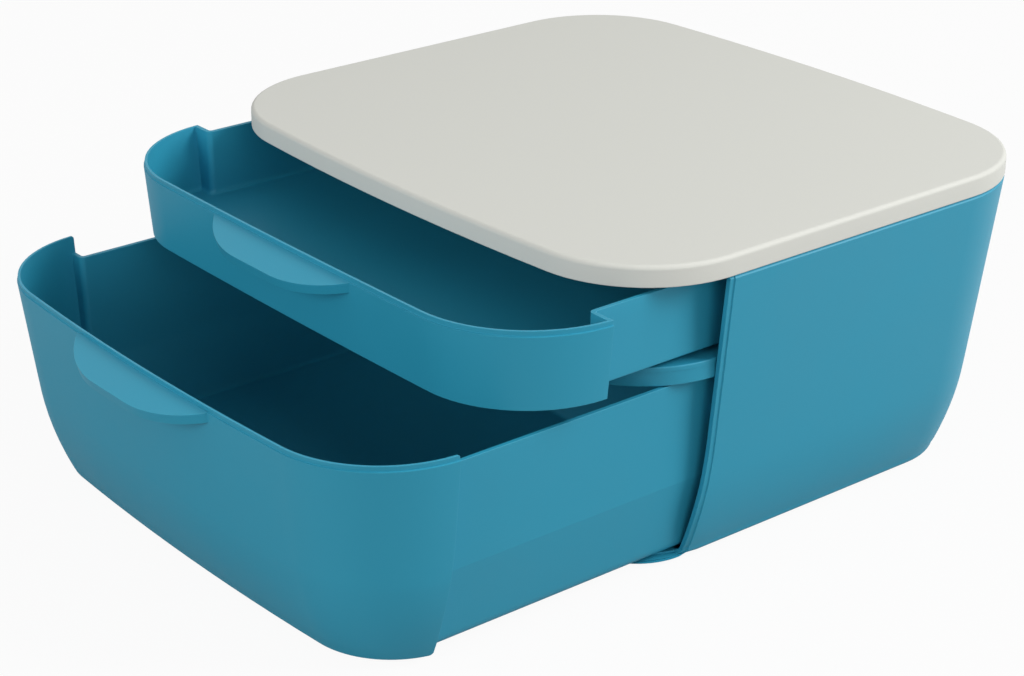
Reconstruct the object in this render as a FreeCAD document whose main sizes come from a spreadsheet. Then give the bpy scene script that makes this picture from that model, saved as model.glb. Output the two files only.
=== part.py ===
"""File box with two drawers: moulded casing, flat cover, divider shelf and drawers that pull forward.

Frame: origin at the centre of the footprint on the desk, +X to the right, +Y to the rear, +Z up.
The drawers are drawn pulled out, as they rest, and slide along Y.
"""
import FreeCAD, Part
import math
import os
import Sketcher

SHEET = "Sizes"
LEVEL_TOLERANCE = 1e-3    # an edge this close to a height lies at it
EDGE_POINTS = 5

# Driving dimensions in millimetres; a ratio or a slope has no unit.
DIMENSIONS = {
    # outline of the cover, which the casing and the fronts follow
    "body_width": 370.0,
    "body_depth": 320.0,
    "corner_radius": 67.0,
    "edge_bow_radius": 1700.0,
    # cover
    "cover_thickness": 11.5,
    "cover_bevel": 2.5,
    "cover_margin": 35.0,
    "cover_front_margin": 80.0,
    "cover_pocket": 8.5,
    "cover_rib": 4.0,
    # casing
    "casing_height": 166.2,
    "casing_wall": 3.5,
    "casing_floor": 2.5,
    "front_wrap": 71.0,
    "side_slope": 0.104,
    "tuck_start": 114.0,
    "tuck_radius": 175.5,
    "depth_lean": 1.17,
    "radius_shrink": 0.8,
    "base_round": 5.5,
    "lip_thickness": 1.6,
    "lip_clearance": 1.0,
    "root_cover": 1.0,
    # divider shelf
    "shelf_drop": 47.2,
    "shelf_thickness": 3.0,
    "shelf_apron": 10.6,
    "shelf_edge_gap": 0.5,
    "shelf_apron_wall": 2.5,
    "shelf_guide_height": 6.0,
    "shelf_guide_width": 2.0,
    "shelf_guide_gap": 0.6,
    "shelf_guide_length": 150.0,
    "shelf_ledge_length": 150.0,
    "shelf_ledge_width": 12.0,
    "shelf_ledge_thickness": 3.0,
    # fronts of both drawers
    "front_wall": 2.3,
    "front_side_set": 1.1,
    "front_end_gap": 0.5,
    "front_corner_growth": 2.2,
    # upper drawer
    "upper_rim_depth": 3.5,
    "upper_front_height": 42.5,
    "upper_front_set": 3.0,
    "upper_front_lean": 0.9,
    "upper_front_bow": 6000.0,
    "upper_corner_shrink": 1.49,
    "upper_tray_gap": 11.9,
    "upper_tray_draft": 0.01,
    "upper_tray_lift": 2.2,
    "upper_open": 74.4,
    # lower drawer
    "lower_rim_depth": 48.8,
    "lower_front_height": 115.4,
    "lower_front_set": -0.6,
    "lower_front_lean": 1.165,
    "lower_front_bow": 1840.0,
    "lower_corner_shrink": 0.885,
    "lower_tray_gap": 7.6,
    "lower_tray_draft": 0.067,
    "lower_tray_tuck": 0.72,
    "lower_side_drop": 9.6,
    "lower_crease_drop": 59.6,
    "lower_tray_lift": 2.0,
    "lower_open": 163.1,
    # trays of both drawers
    "tray_wall": 2.5,
    "tray_floor": 2.5,
    "tray_back_gap": 6.5,
    "tray_back_lean": 1.1,
    "tray_corner_set": 9.0,
    "tray_corner_shrink": 0.9,
    "tray_base_round": 6.0,
    # pull on each front
    "pull_reach": 18.8,
    "pull_flat": 30.0,
    "pull_width": 122.0,
    "pull_thickness": 5.8,
    "pull_slope_degrees": 16.7,
    "pull_drop": 2.9,
    # glide strips
    "glide_width": 12.0,
    "glide_length": 190.0,
    "glide_margin": 40.0,
    "glide_gap": 0.3,
    "glide_setback": 5.0,
    # stop blocks on the casing and catches on the trays
    "stop_length": 5.0,
    "stop_setback": 8.0,
    "stop_height": 16.0,
    "stop_overlap": 2.2,
    "stop_clearance": 2.0,
    "stop_travel": 168.0,
    "stop_gap": 0.3,
    "catch_length": 8.0,
    "catch_drop": 10.0,
    # rubber feet
    "foot_height": 2.0,
    "foot_radius": 8.0,
    "foot_recess": 0.8,
    "foot_recess_gap": 0.2,
    "foot_margin_x": 35.4,
    "foot_margin_y": 36.2,
    # screws under the cover and under the shelf
    "screw_radius": 1.5,
    "screw_hole_gap": 0.1,
    "screw_head_radius": 3.0,
    "screw_head_height": 2.0,
    "cover_screw_bite": 7.0,
    "cover_screw_spacing_y": 130.0,
    "lug_length": 14.0,
    "lug_width": 8.5,
    "lug_thickness": 4.0,
    "shelf_screw_bite": 2.4,
    "shelf_screw_spacing_y": 110.0,
}


class Size:
    """A size known both as a number and as an expression on the sheet."""

    def __init__(self, value, text):
        self.value = float(value)
        self.text = str(text)

    def _join(self, other, sign, value):
        return Size(value, f"({self.text} {sign} {plain(other).text})")

    def __add__(self, other):
        return self._join(other, "+", self.value + plain(other).value)

    def __sub__(self, other):
        return self._join(other, "-", self.value - plain(other).value)

    def __mul__(self, other):
        return self._join(other, "*", self.value * plain(other).value)

    def __truediv__(self, other):
        return self._join(other, "/", self.value / plain(other).value)

    def __neg__(self):
        return Size(-self.value, f"(0 - {self.text})")


def plain(number):
    """Return a Size for a plain number, and a Size unchanged."""
    return number if isinstance(number, Size) else Size(number, repr(number))


def size(name):
    """Return one driving dimension of the sheet."""
    return Size(DIMENSIONS[name], f"{SHEET}.{name}")


def root(inner):
    """Return the square root of a Size."""
    return Size(math.sqrt(inner.value), f"sqrt({inner.text})")


def larger(first, second):
    """Return the larger of two Sizes."""
    first, second = plain(first), plain(second)
    return Size(max(first.value, second.value), f"max({first.text}; {second.text})")


# ---------------------------------------------------------------- shared geometry of the shell


def level(depth):
    """Return the height above the desk of a depth below the cover's underside."""
    return size("foot_height") + size("casing_height") - depth


def inset(depth):
    """Return how far the side of the casing has leaned in at a depth: straight, then an arc."""
    past = larger(0, plain(depth) - size("tuck_start"))
    radius = size("tuck_radius")
    return size("side_slope") * depth + radius - root(radius * radius - past * past)


def casing_half_width(depth):
    return size("body_width") / 2 - inset(depth)


def casing_half_depth(depth):
    return size("body_depth") / 2 - size("depth_lean") * inset(depth)


def casing_corner(depth):
    return size("corner_radius") - size("radius_shrink") * inset(depth)


def front_half_width(depth):
    """Return half the width of a drawer front's outer face."""
    return casing_half_width(depth) - size("front_side_set")


def front_depth(drawer, depth):
    """Return how far forward of the centre a drawer front's outer face lies, drawer closed."""
    top = size("body_depth") / 2 - size(f"{drawer}_front_set")
    return top - size(f"{drawer}_front_lean") * inset(depth)


def front_corner(drawer, depth):
    radius = size("corner_radius") + size("front_corner_growth")
    return radius - size(f"{drawer}_corner_shrink") * inset(depth)


def casing_front_edge():
    """Return how far forward of the centre the casing's sides end, where the fronts wrap round."""
    return size("body_depth") / 2 - size("front_wrap")


def front_end():
    """Return how far forward of the centre the rear ends of a closed front lie."""
    return casing_front_edge() + size("front_end_gap")


def between(first, last, steps):
    """Return evenly spaced depths from the first to the last, both included."""
    first, last = plain(first), plain(last)
    return [first + (last - first) * (step / steps) for step in range(steps + 1)]


# ---------------------------------------------------------------- document and sketches


def new_document():
    doc = FreeCAD.newDocument("file_box")
    sheet = doc.addObject("Spreadsheet::Sheet", SHEET)
    for row, (alias, number) in enumerate(DIMENSIONS.items(), start=1):
        sheet.set(f"A{row}", alias)
        sheet.set(f"B{row}", str(number))
        sheet.setAlias(f"B{row}", alias)
    doc.recompute()
    return doc


def new_body(doc, name):
    body = doc.addObject("PartDesign::Body", name)
    body.Label = name
    return body


def sketch_on(body, name, role="XY_Plane", height=None):
    """Add a sketch on one of the body's origin planes, raised along the plane's normal."""
    sketch = body.newObject("Sketcher::SketchObject", f"{body.Name}_{name}")
    support = [feature for feature in body.Origin.OriginFeatures if feature.Role == role][0]
    sketch.AttachmentSupport = [(support, "")]
    sketch.MapMode = "FlatFace"
    if height is not None:
        sketch.AttachmentOffset = FreeCAD.Placement(FreeCAD.Vector(0, 0, height.value), FreeCAD.Rotation())
        sketch.setExpression("AttachmentOffset.Base.z", height.text)
    return sketch


def hold(sketch, kind, *where, to):
    """Add a dimension and bind it to its Size; a negative distance is held from the other side."""
    if to.value < 0 and kind in ("DistanceX", "DistanceY"):
        first, first_point, second, second_point = where
        where = (second, second_point, first, first_point)
        to = -to
    index = sketch.addConstraint(Sketcher.Constraint(kind, *where, to.value))
    sketch.setExpression(f"Constraints[{index}]", to.text)


def relate(sketch, *constraint):
    sketch.addConstraint(Sketcher.Constraint(*constraint))


ORIGIN = (-1, 1)
Y_AXIS = -2
START, END, CENTRE = range(1, 4)


def arc(centre, radius, start, end):
    circle = Part.Circle(FreeCAD.Vector(*centre, 0), FreeCAD.Vector(0, 0, 1), radius)
    return Part.ArcOfCircle(circle, start, end)


def line(start, end):
    return Part.LineSegment(FreeCAD.Vector(*start, 0), FreeCAD.Vector(*end, 0))


class Edge:
    """One bowed or straight edge of an outline with the corners beside it, equal or both sharp."""

    def __init__(self, half_width, reach, radius=None, bow=None):
        self.half_width, self.reach, self.radius, self.bow = half_width, reach, radius, bow
        corner = 0.0 if radius is None else radius.value
        self.corner_x = half_width.value - corner
        if bow is None:
            self.corner_y = reach.value - corner
            self.turn = 0.0
        else:
            run = bow.value - corner
            self.corner_y = reach.value - bow.value + math.sqrt(run**2 - self.corner_x**2)
            self.turn = math.asin(self.corner_x / run)

    def edge_geometry(self, side):
        """Return the long edge; side is -1 for the front and 1 for the rear."""
        if self.bow is None:
            start, end = (-self.corner_x, -self.reach.value), (self.corner_x, -self.reach.value)
            return line(start, end) if side < 0 else line((end[0], -end[1]), (start[0], -start[1]))
        centre = (0, side * (self.reach.value - self.bow.value))
        middle = side * math.pi / 2
        return arc(centre, self.bow.value, middle - self.turn, middle + self.turn)

    def corner_geometry(self, across, side):
        """Return the corner on the right (across 1) or left (-1), as a list that is empty if sharp."""
        if self.radius is None:
            return []
        flat = 0 if across > 0 else math.pi
        steep = side * (math.pi / 2 - self.turn) if across > 0 else math.pi - side * (math.pi / 2 - self.turn)
        start, end = sorted((flat, steep))
        return [("corner", arc((across * self.corner_x, side * self.corner_y), self.radius.value, start, end))]

    def hold_edge(self, sketch, index, side):
        if self.bow is None:
            relate(sketch, "Horizontal", index)
            hold(sketch, "DistanceY", *ORIGIN, index, START, to=self.reach * side)
        else:
            hold(sketch, "Radius", index, to=self.bow)
            relate(sketch, "PointOnObject", index, CENTRE, Y_AXIS)
            hold(sketch, "DistanceY", *ORIGIN, index, CENTRE, to=(self.reach - self.bow) * side)


def closed_outline(sketch, front, rear):
    """Draw an outline: front edge, corners, straight sides and rear edge, tangent where rounded."""
    wide = front.half_width.value
    low, high = -front.corner_y, rear.corner_y
    ring = [("front", front.edge_geometry(-1))]
    ring += front.corner_geometry(1, -1)
    ring.append(("right", line((wide, low), (wide, high))))
    ring += rear.corner_geometry(1, 1)
    ring.append(("rear", rear.edge_geometry(1)))
    ring += rear.corner_geometry(-1, 1)
    ring.append(("left", line((-wide, high), (-wide, low))))
    ring += front.corner_geometry(-1, -1)
    for _, shape in ring:
        sketch.addGeometry(shape, False)
    kinds = [kind for kind, _ in ring]
    for index, kind in enumerate(kinds):
        following = (index + 1) % len(kinds)
        smooth = "corner" in (kind, kinds[following])
        relate(sketch, "Tangent" if smooth else "Coincident", index, END, following, START)
        if kind in ("left", "right"):
            relate(sketch, "Vertical", index)
            reach = front.half_width if kind == "right" else -front.half_width
            hold(sketch, "DistanceX", *ORIGIN, index, START, to=reach)
        elif kind == "corner":
            edge = rear if kinds.index("right") < index < kinds.index("left") else front
            hold(sketch, "Radius", index, to=edge.radius)
    front.hold_edge(sketch, 0, -1)
    rear.hold_edge(sketch, kinds.index("rear"), 1)


def cut_off_outline(sketch, front, cut):
    """Draw a front edge with its two corners, closed by a straight line across at y = -cut."""
    quarter = math.pi / 2
    low = -front.corner_y
    lift = math.asin((-cut.value - low) / front.radius.value)
    end_x = front.corner_x + front.radius.value * math.cos(lift)
    sketch.addGeometry(front.edge_geometry(-1), False)
    sketch.addGeometry(arc((front.corner_x, low), front.radius.value, -quarter + front.turn, lift), False)
    sketch.addGeometry(line((end_x, -cut.value), (-end_x, -cut.value)), False)
    left = arc((-front.corner_x, low), front.radius.value, 2 * quarter - lift, 3 * quarter - front.turn)
    sketch.addGeometry(left, False)
    relate(sketch, "Tangent", 0, END, 1, START)
    relate(sketch, "Tangent", 3, END, 0, START)
    relate(sketch, "Coincident", 1, END, 2, START)
    relate(sketch, "Coincident", 2, END, 3, START)
    relate(sketch, "Horizontal", 2)
    hold(sketch, "DistanceY", *ORIGIN, 2, START, to=-cut)
    hold(sketch, "Radius", 1, to=front.radius)
    hold(sketch, "Radius", 3, to=front.radius)
    hold(sketch, "DistanceX", *ORIGIN, 1, CENTRE, to=front.half_width - front.radius)
    hold(sketch, "DistanceX", 3, CENTRE, *ORIGIN, to=front.half_width - front.radius)
    front.hold_edge(sketch, 0, -1)


def rectangle(sketch, left, right, low, high):
    """Draw a rectangle held by its four sides."""
    first = sketch.GeometryCount
    corners = [(left, low), (right, low), (right, high), (left, high)]
    points = [(across.value, along.value) for across, along in corners]
    for index in range(4):
        sketch.addGeometry(line(points[index], points[(index + 1) % 4]), False)
    for index in range(4):
        relate(sketch, "Coincident", first + index, END, first + (index + 1) % 4, START)
        relate(sketch, "Horizontal" if index % 2 == 0 else "Vertical", first + index)
    hold(sketch, "DistanceX", *ORIGIN, first, START, to=left)
    hold(sketch, "DistanceX", *ORIGIN, first, END, to=right)
    hold(sketch, "DistanceY", *ORIGIN, first, START, to=low)
    hold(sketch, "DistanceY", *ORIGIN, first + 2, START, to=high)


def circle(sketch, across, along, radius):
    """Draw a circle held by its centre and radius."""
    index = sketch.addGeometry(
        Part.Circle(FreeCAD.Vector(across.value, along.value, 0), FreeCAD.Vector(0, 0, 1), radius.value), False
    )
    hold(sketch, "Radius", index, to=radius)
    hold(sketch, "DistanceX", *ORIGIN, index, CENTRE, to=across)
    hold(sketch, "DistanceY", *ORIGIN, index, CENTRE, to=along)


# ---------------------------------------------------------------- features


def loft(body, name, sketches, cut=False, ruled=False):
    """Join sketches into a solid, or cut them out of the body."""
    kind = "PartDesign::SubtractiveLoft" if cut else "PartDesign::AdditiveLoft"
    feature = body.newObject(kind, f"{body.Name}_{name}")
    feature.Profile = sketches[0]
    feature.Sections = sketches[1:]
    feature.Ruled = ruled
    return feature


def pad(body, sketch, length, down=False):
    feature = body.newObject("PartDesign::Pad", f"{sketch.Name}_pad")
    feature.Profile = sketch
    feature.Length = length.value
    feature.setExpression("Length", length.text)
    feature.Reversed = down
    return feature


def pocket(body, sketch, length=None, up=False, both_ways=False):
    """Cut a sketch out of the body, downwards unless up, and right through without a length."""
    feature = body.newObject("PartDesign::Pocket", f"{sketch.Name}_pocket")
    feature.Profile = sketch
    feature.Reversed = up
    if length is None:
        feature.Type = "ThroughAll"
    else:
        feature.Length = length.value
        feature.setExpression("Length", length.text)
    feature.Midplane = both_ways
    return feature


def flat_edges(shape, height):
    """Return the names of the edges that lie at one height."""
    names = []
    for index, edge in enumerate(shape.Edges, start=1):
        points = edge.discretize(EDGE_POINTS)
        if all(abs(point.z - height.value) < LEVEL_TOLERANCE for point in points):
            names.append(f"Edge{index}")
    return names


def soften(body, kind, base, height, amount):
    """Round or bevel all edges of a feature that lie at one height."""
    body.Document.recompute()
    feature = body.newObject(f"PartDesign::{kind}", f"{base.Name}_{kind.lower()}")
    feature.Base = (base, flat_edges(base.Shape, height))
    field = "Radius" if kind == "Fillet" else "Size"
    setattr(feature, field, amount.value)
    feature.setExpression(field, amount.text)
    return feature


def box(doc, name, low, extent):
    """Make a box from its lowest corner and its three lengths, all Sizes."""
    solid = doc.addObject("Part::Box", name)
    solid.Label = name
    for field, length in zip(("Length", "Width", "Height"), extent):
        solid.setExpression(field, length.text)
    for axis, place in zip("xyz", low):
        solid.setExpression(f"Placement.Base.{axis}", place.text)
    return solid


def cylinder(doc, name, base, radius, height):
    """Make an upright cylinder from the centre of its lower face."""
    solid = doc.addObject("Part::Cylinder", name)
    solid.Label = name
    solid.setExpression("Radius", radius.text)
    solid.setExpression("Height", height.text)
    for axis, place in zip("xyz", base):
        solid.setExpression(f"Placement.Base.{axis}", place.text)
    return solid


# ---------------------------------------------------------------- outlines of the pieces

OVERSHOOT = 1.0    # how far a cut runs past the face that it opens
SHELL_STEPS = 8    # sections of a curved shell are evenly spaced, so that its sides stay smooth
FRONT_STEPS = 6
TRAY_STEPS = 3


def shrunk(edge, wall):
    """Return the same edge moved in by a wall."""
    bow = None if edge.bow is None else edge.bow - wall
    return Edge(edge.half_width - wall, edge.reach - wall, edge.radius - wall, bow)


def casing_edge(depth):
    width, reach = casing_half_width(depth), casing_half_depth(depth)
    return Edge(width, reach, casing_corner(depth), size("edge_bow_radius"))


def front_edge(drawer, depth):
    reach, radius = front_depth(drawer, depth), front_corner(drawer, depth)
    return Edge(front_half_width(depth), reach, radius, size(f"{drawer}_front_bow"))


class Drawer:
    """Depths and widths of one drawer, closed, from the driving dimensions."""

    def __init__(self, name):
        self.name = name
        self.rim = size(f"{name}_rim_depth")
        self.bottom = self.rim + size(f"{name}_front_height")
        self.underside = self.bottom - size(f"{name}_tray_lift")
        self.floor_top = self.underside - size("tray_floor")
        self.side_top = self.rim
        self.crease = None
        self.pull_top = self.rim + size("pull_drop")

    def half_width(self, depth):
        """Return half the width of the tray's outer face."""
        inside = casing_half_width(self.side_top) - size("casing_wall")
        draft = size(f"{self.name}_tray_draft") * (depth - self.side_top)
        return inside - size(f"{self.name}_tray_gap") - draft

    def tray_edges(self, depth):
        """Return the tray's front and rear edges; its front is buried in the wall behind the front."""
        width = self.half_width(depth)
        buried = front_end() + size("tray_wall") / 2
        back = size("body_depth") / 2 - size("casing_wall") - size("tray_back_gap")
        reach = back - size("tray_back_lean") * inset(depth)
        corner = size("corner_radius") - size("tray_corner_set")
        radius = corner - size("tray_corner_shrink") * inset(depth)
        return Edge(width, buried), Edge(width, reach, radius, size("edge_bow_radius"))

    def hollow_edges(self, depth):
        """Return the edges of the tray's inside, whose front opens into the hollow of the front."""
        rear = shrunk(self.tray_edges(depth)[1], size("tray_wall"))
        opening = front_end() + size("tray_wall") + OVERSHOOT
        return Edge(rear.half_width, opening), rear


class LowerDrawer(Drawer):
    """The deep drawer: its sides are lower than its front and fold inwards at a crease."""

    def __init__(self):
        super().__init__("lower")
        self.side_top = self.rim + size("lower_side_drop")
        self.crease = self.side_top + size("lower_crease_drop")

    def half_width(self, depth):
        if depth.value <= self.crease.value:
            return super().half_width(depth)
        tucked = size("lower_tray_tuck") * (inset(depth) - inset(self.crease))
        return super().half_width(self.crease) - tucked


def front_depths(first, last):
    """Return the section depths of a front: two where it is straight, more where it tucks under."""
    return between(first, last, 1 if last.value <= size("tuck_start").value else FRONT_STEPS)


# ---------------------------------------------------------------- casing, cover and shelf


def section(body, name, depth, front, rear):
    sketch = sketch_on(body, name, height=level(depth))
    closed_outline(sketch, front, rear)
    return sketch


def mirrored_rectangles(sketch, inner, outer, low, high):
    """Draw a rectangle on the right and its mirror image on the left."""
    rectangle(sketch, inner, outer, low, high)
    rectangle(sketch, -outer, -inner, low, high)


def lug_centre():
    return casing_half_width(0) - size("casing_wall") - size("lug_width") / 2


def ledge_centre():
    shelf_underside = size("shelf_drop") + size("shelf_thickness")
    return casing_half_width(shelf_underside) - size("casing_wall") - size("shelf_ledge_width") / 2


def foot_centre():
    """Return how far across and along the feet stand from the centre."""
    base = size("casing_height")
    return casing_half_width(base) - size("foot_margin_x"), casing_half_depth(base) - size("foot_margin_y")


def catch_outer(drawer):
    """Return how far out a catch reaches: short of the casing's wall where the catch ends."""
    lowest = drawer.side_top + size("catch_drop") + size("stop_height")
    return casing_half_width(lowest) - size("casing_wall") - size("stop_clearance")


def stop_rear():
    """Return the place of the stop blocks' rear faces."""
    return -casing_front_edge() + size("stop_setback") + size("stop_length")


def add_stop_blocks(body, drawer):
    """Add the two blocks on the casing's sides that hold one drawer's catches."""
    top = drawer.side_top + size("catch_drop")
    sketch = sketch_on(body, f"{drawer.name}_stops", height=level(top))
    inner = catch_outer(drawer) - size("stop_overlap")
    outer = casing_half_width(top + size("stop_height")) - size("root_cover")
    mirrored_rectangles(sketch, inner, outer, stop_rear() - size("stop_length"), stop_rear())
    pad(body, sketch, size("stop_height"), down=True)


def add_cover_lugs(body):
    """Add the four lugs inside the top edge that the cover's screws pass through."""
    centre, half = lug_centre(), size("lug_width") / 2
    sketch = sketch_on(body, "lugs", height=level(0))
    outer = casing_half_width(size("lug_thickness")) - size("root_cover")
    for side in (-1, 1):
        middle = size("cover_screw_spacing_y") / 2 * side
        low, high = middle - size("lug_length") / 2, middle + size("lug_length") / 2
        mirrored_rectangles(sketch, centre - half, outer, low, high)
    pad(body, sketch, size("lug_thickness"), down=True)
    holes = sketch_on(body, "lug_holes", height=level(0))
    four_circles(holes, centre, size("cover_screw_spacing_y") / 2, screw_hole_radius())
    pocket(body, holes, size("lug_thickness") + OVERSHOOT)


def add_shelf_ledges(body):
    """Add the two ledges that carry the shelf, with the holes for its screws."""
    top = size("shelf_drop") + size("shelf_thickness")
    centre, half = ledge_centre(), size("shelf_ledge_width") / 2
    sketch = sketch_on(body, "ledges", height=level(top))
    outer = casing_half_width(top + size("shelf_ledge_thickness")) - size("root_cover")
    half_length = size("shelf_ledge_length") / 2
    mirrored_rectangles(sketch, centre - half, outer, -half_length, half_length)
    pad(body, sketch, size("shelf_ledge_thickness"), down=True)
    holes = sketch_on(body, "ledge_holes", height=level(top))
    four_circles(holes, centre, size("shelf_screw_spacing_y") / 2, screw_hole_radius())
    pocket(body, holes, size("shelf_ledge_thickness") + OVERSHOOT)


def screw_hole_radius():
    return size("screw_radius") + size("screw_hole_gap")


def four_circles(sketch, across, along, radius):
    """Draw a circle in each quarter, the same distance from both axes."""
    for side in (-1, 1):
        for end in (-1, 1):
            circle(sketch, across * side, along * end, radius)


def make_casing(doc):
    """Make the casing: leaning sides, closed rear, a floor that runs on under the fronts."""
    body = new_body(doc, "casing")
    wall, height = size("casing_wall"), size("casing_height")
    floor_top = height - size("casing_floor")
    outer = [
        section(body, f"outer_{index}", depth, casing_edge(depth), casing_edge(depth))
        for index, depth in enumerate(between(0, height, SHELL_STEPS))
    ]
    shell = loft(body, "shell", outer)
    soften(body, "Fillet", shell, level(height), size("base_round"))
    inner = []
    for index, depth in enumerate(between(-OVERSHOOT, floor_top, SHELL_STEPS)):
        edge = shrunk(casing_edge(depth), wall)
        inner.append(section(body, f"inner_{index}", depth, edge, edge))
    loft(body, "hollow", inner, cut=True)
    cut_casing_mouth(body)
    add_cover_lugs(body)
    add_shelf_ledges(body)
    for drawer in (Drawer("upper"), LowerDrawer()):
        add_stop_blocks(body, drawer)
    recess = sketch_on(body, "foot_recesses", height=level(height))
    four_circles(recess, *foot_centre(), size("foot_radius") + size("foot_recess_gap"))
    pocket(body, recess, size("foot_recess"), up=True)
    return body


def cut_casing_mouth(body):
    """Open the front down to the lip, and raise the floor inside the lower front again."""
    lip_top = size("casing_height") - size("lip_thickness")
    mouth = sketch_on(body, "mouth", role="YZ_Plane")
    ahead = -size("body_depth")
    rectangle(mouth, ahead, -casing_front_edge(), level(lip_top), level(0) + OVERSHOOT)
    pocket(body, mouth, both_ways=True)
    raised = sketch_on(body, "raised_floor", height=level(lip_top))
    front = front_edge("lower", LowerDrawer().bottom)
    edge = shrunk(front, size("front_wall") + size("lip_clearance"))
    cut_off_outline(raised, edge, casing_front_edge() - OVERSHOOT)
    pad(body, raised, size("casing_floor") - size("lip_thickness"))


def make_cover(doc):
    """Make the flat cover: bevelled top edge, lightening pockets and pilot holes underneath."""
    body = new_body(doc, "top_cover")
    outline = section(body, "outline", plain(0), casing_edge(0), casing_edge(0))
    slab = pad(body, outline, size("cover_thickness"))
    soften(body, "Chamfer", slab, level(0) + size("cover_thickness"), size("cover_bevel"))
    pockets = sketch_on(body, "pockets", height=level(0))
    half_rib = size("cover_rib") / 2
    side = size("body_width") / 2 - size("cover_margin")
    front = -(size("body_depth") / 2 - size("cover_front_margin"))
    rear = size("body_depth") / 2 - size("cover_margin")
    middle = (front + rear) / 2
    for low, high in ((front, middle - half_rib), (middle + half_rib, rear)):
        mirrored_rectangles(pockets, half_rib, side, low, high)
    pocket(body, pockets, size("cover_pocket"), up=True)
    pilots = sketch_on(body, "pilot_holes", height=level(0))
    four_circles(pilots, lug_centre(), size("cover_screw_spacing_y") / 2, screw_hole_radius())
    pocket(body, pilots, size("cover_screw_bite"), up=True)
    return body


def shelf_edges():
    """Return the shelf's front edge, inside the lower front's wall, and its rear edge."""
    bottom = size("shelf_drop") + size("shelf_apron")
    front = shrunk(front_edge("lower", bottom), size("front_wall") + size("shelf_edge_gap"))
    rear = shrunk(casing_edge(bottom), size("casing_wall") + size("shelf_edge_gap"))
    return front, Edge(front.half_width, rear.reach, rear.radius, rear.bow)


def make_shelf(doc):
    """Make the divider shelf: a plate, an apron round its front and two guides on its top."""
    body = new_body(doc, "divider_shelf")
    drop, thickness, apron = size("shelf_drop"), size("shelf_thickness"), size("shelf_apron")
    front, rear = shelf_edges()
    plate = section(body, "plate", drop, front, rear)
    pad(body, plate, thickness, down=True)
    hanging = sketch_on(body, "apron", height=level(drop))
    cut_off_outline(hanging, front, casing_front_edge())
    pad(body, hanging, apron, down=True)
    behind = sketch_on(body, "apron_hollow", height=level(drop + thickness))
    inside = shrunk(front, size("shelf_apron_wall"))
    closed_outline(behind, inside, Edge(inside.half_width, plain(OVERSHOOT)))
    pocket(body, behind, apron)
    upper = Drawer("upper")
    inner = upper.half_width(upper.underside) + size("shelf_guide_gap")
    half_length = size("shelf_guide_length") / 2
    guides = sketch_on(body, "guides", height=level(drop))
    mirrored_rectangles(guides, inner, inner + size("shelf_guide_width"), -half_length, half_length)
    pad(body, guides, size("shelf_guide_height"))
    pilots = sketch_on(body, "pilot_holes", height=level(drop + thickness))
    four_circles(pilots, ledge_centre(), size("shelf_screw_spacing_y") / 2, screw_hole_radius())
    pocket(body, pilots, size("shelf_screw_bite"), up=True)
    return body


# ---------------------------------------------------------------- drawers


def add_tray(body, drawer):
    """Add the tray's solid, rounded along its underside where it is deep."""
    if drawer.crease is None:
        depths = [drawer.side_top, drawer.underside]
        loft(body, "tray", [tray_section(body, drawer, depth) for depth in depths], ruled=True)
        return
    depths = between(drawer.crease, drawer.underside, TRAY_STEPS)
    low = loft(body, "tray_low", [tray_section(body, drawer, depth) for depth in depths])
    soften(body, "Fillet", low, level(drawer.underside), size("tray_base_round"))
    straight = [drawer.side_top, drawer.crease]
    loft(body, "tray_high", [tray_section(body, drawer, depth) for depth in straight], ruled=True)


def tray_section(body, drawer, depth):
    return section(body, "tray_section", depth, *drawer.tray_edges(depth))


def hollow_section(body, drawer, depth):
    return section(body, "hollow_section", depth, *drawer.hollow_edges(depth))


def cut_tray(body, drawer):
    """Hollow the tray down to its floor."""
    above = drawer.side_top - OVERSHOOT
    if drawer.crease is None:
        depths = [above, drawer.floor_top]
        loft(body, "hollow", [hollow_section(body, drawer, depth) for depth in depths], cut=True, ruled=True)
        return
    high = [above, drawer.crease]
    loft(body, "hollow_high", [hollow_section(body, drawer, depth) for depth in high], cut=True, ruled=True)
    low = between(drawer.crease, drawer.floor_top, TRAY_STEPS)
    loft(body, "hollow_low", [hollow_section(body, drawer, depth) for depth in low], cut=True)


def front_section(body, drawer, depth, wall, cut):
    sketch = sketch_on(body, "front_section", height=level(depth))
    cut_off_outline(sketch, shrunk(front_edge(drawer.name, depth), wall), cut)
    return sketch


def add_front(body, drawer):
    """Add the front, which wraps round both corners, as a solid that ends across the tray."""
    depths = front_depths(drawer.rim, drawer.bottom)
    sections = [front_section(body, drawer, depth, 0, front_end()) for depth in depths]
    loft(body, "front", sections)


def cut_front(body, drawer):
    """Hollow the front down to the floor, and below the floor from underneath."""
    wall = size("front_wall")
    behind = front_end() + size("tray_wall")
    depths = front_depths(drawer.rim - OVERSHOOT, drawer.floor_top)
    loft(body, "front_hollow", [front_section(body, drawer, depth, wall, behind) for depth in depths], cut=True)
    if drawer.side_top.value > drawer.rim.value:
        open_ends = []
        for depth in (drawer.rim - OVERSHOOT, drawer.side_top):
            inside = shrunk(front_edge(drawer.name, depth), wall)
            rear = Edge(inside.half_width, plain(OVERSHOOT))
            open_ends.append(section(body, "open_end", depth, inside, rear))
        loft(body, "open_ends", open_ends, cut=True, ruled=True)
    below = sketch_on(body, "below", height=level(drawer.underside))
    inside = shrunk(front_edge(drawer.name, drawer.bottom), wall)
    closed_outline(below, inside, Edge(inside.half_width, plain(OVERSHOOT)))
    pocket(body, below)


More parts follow.
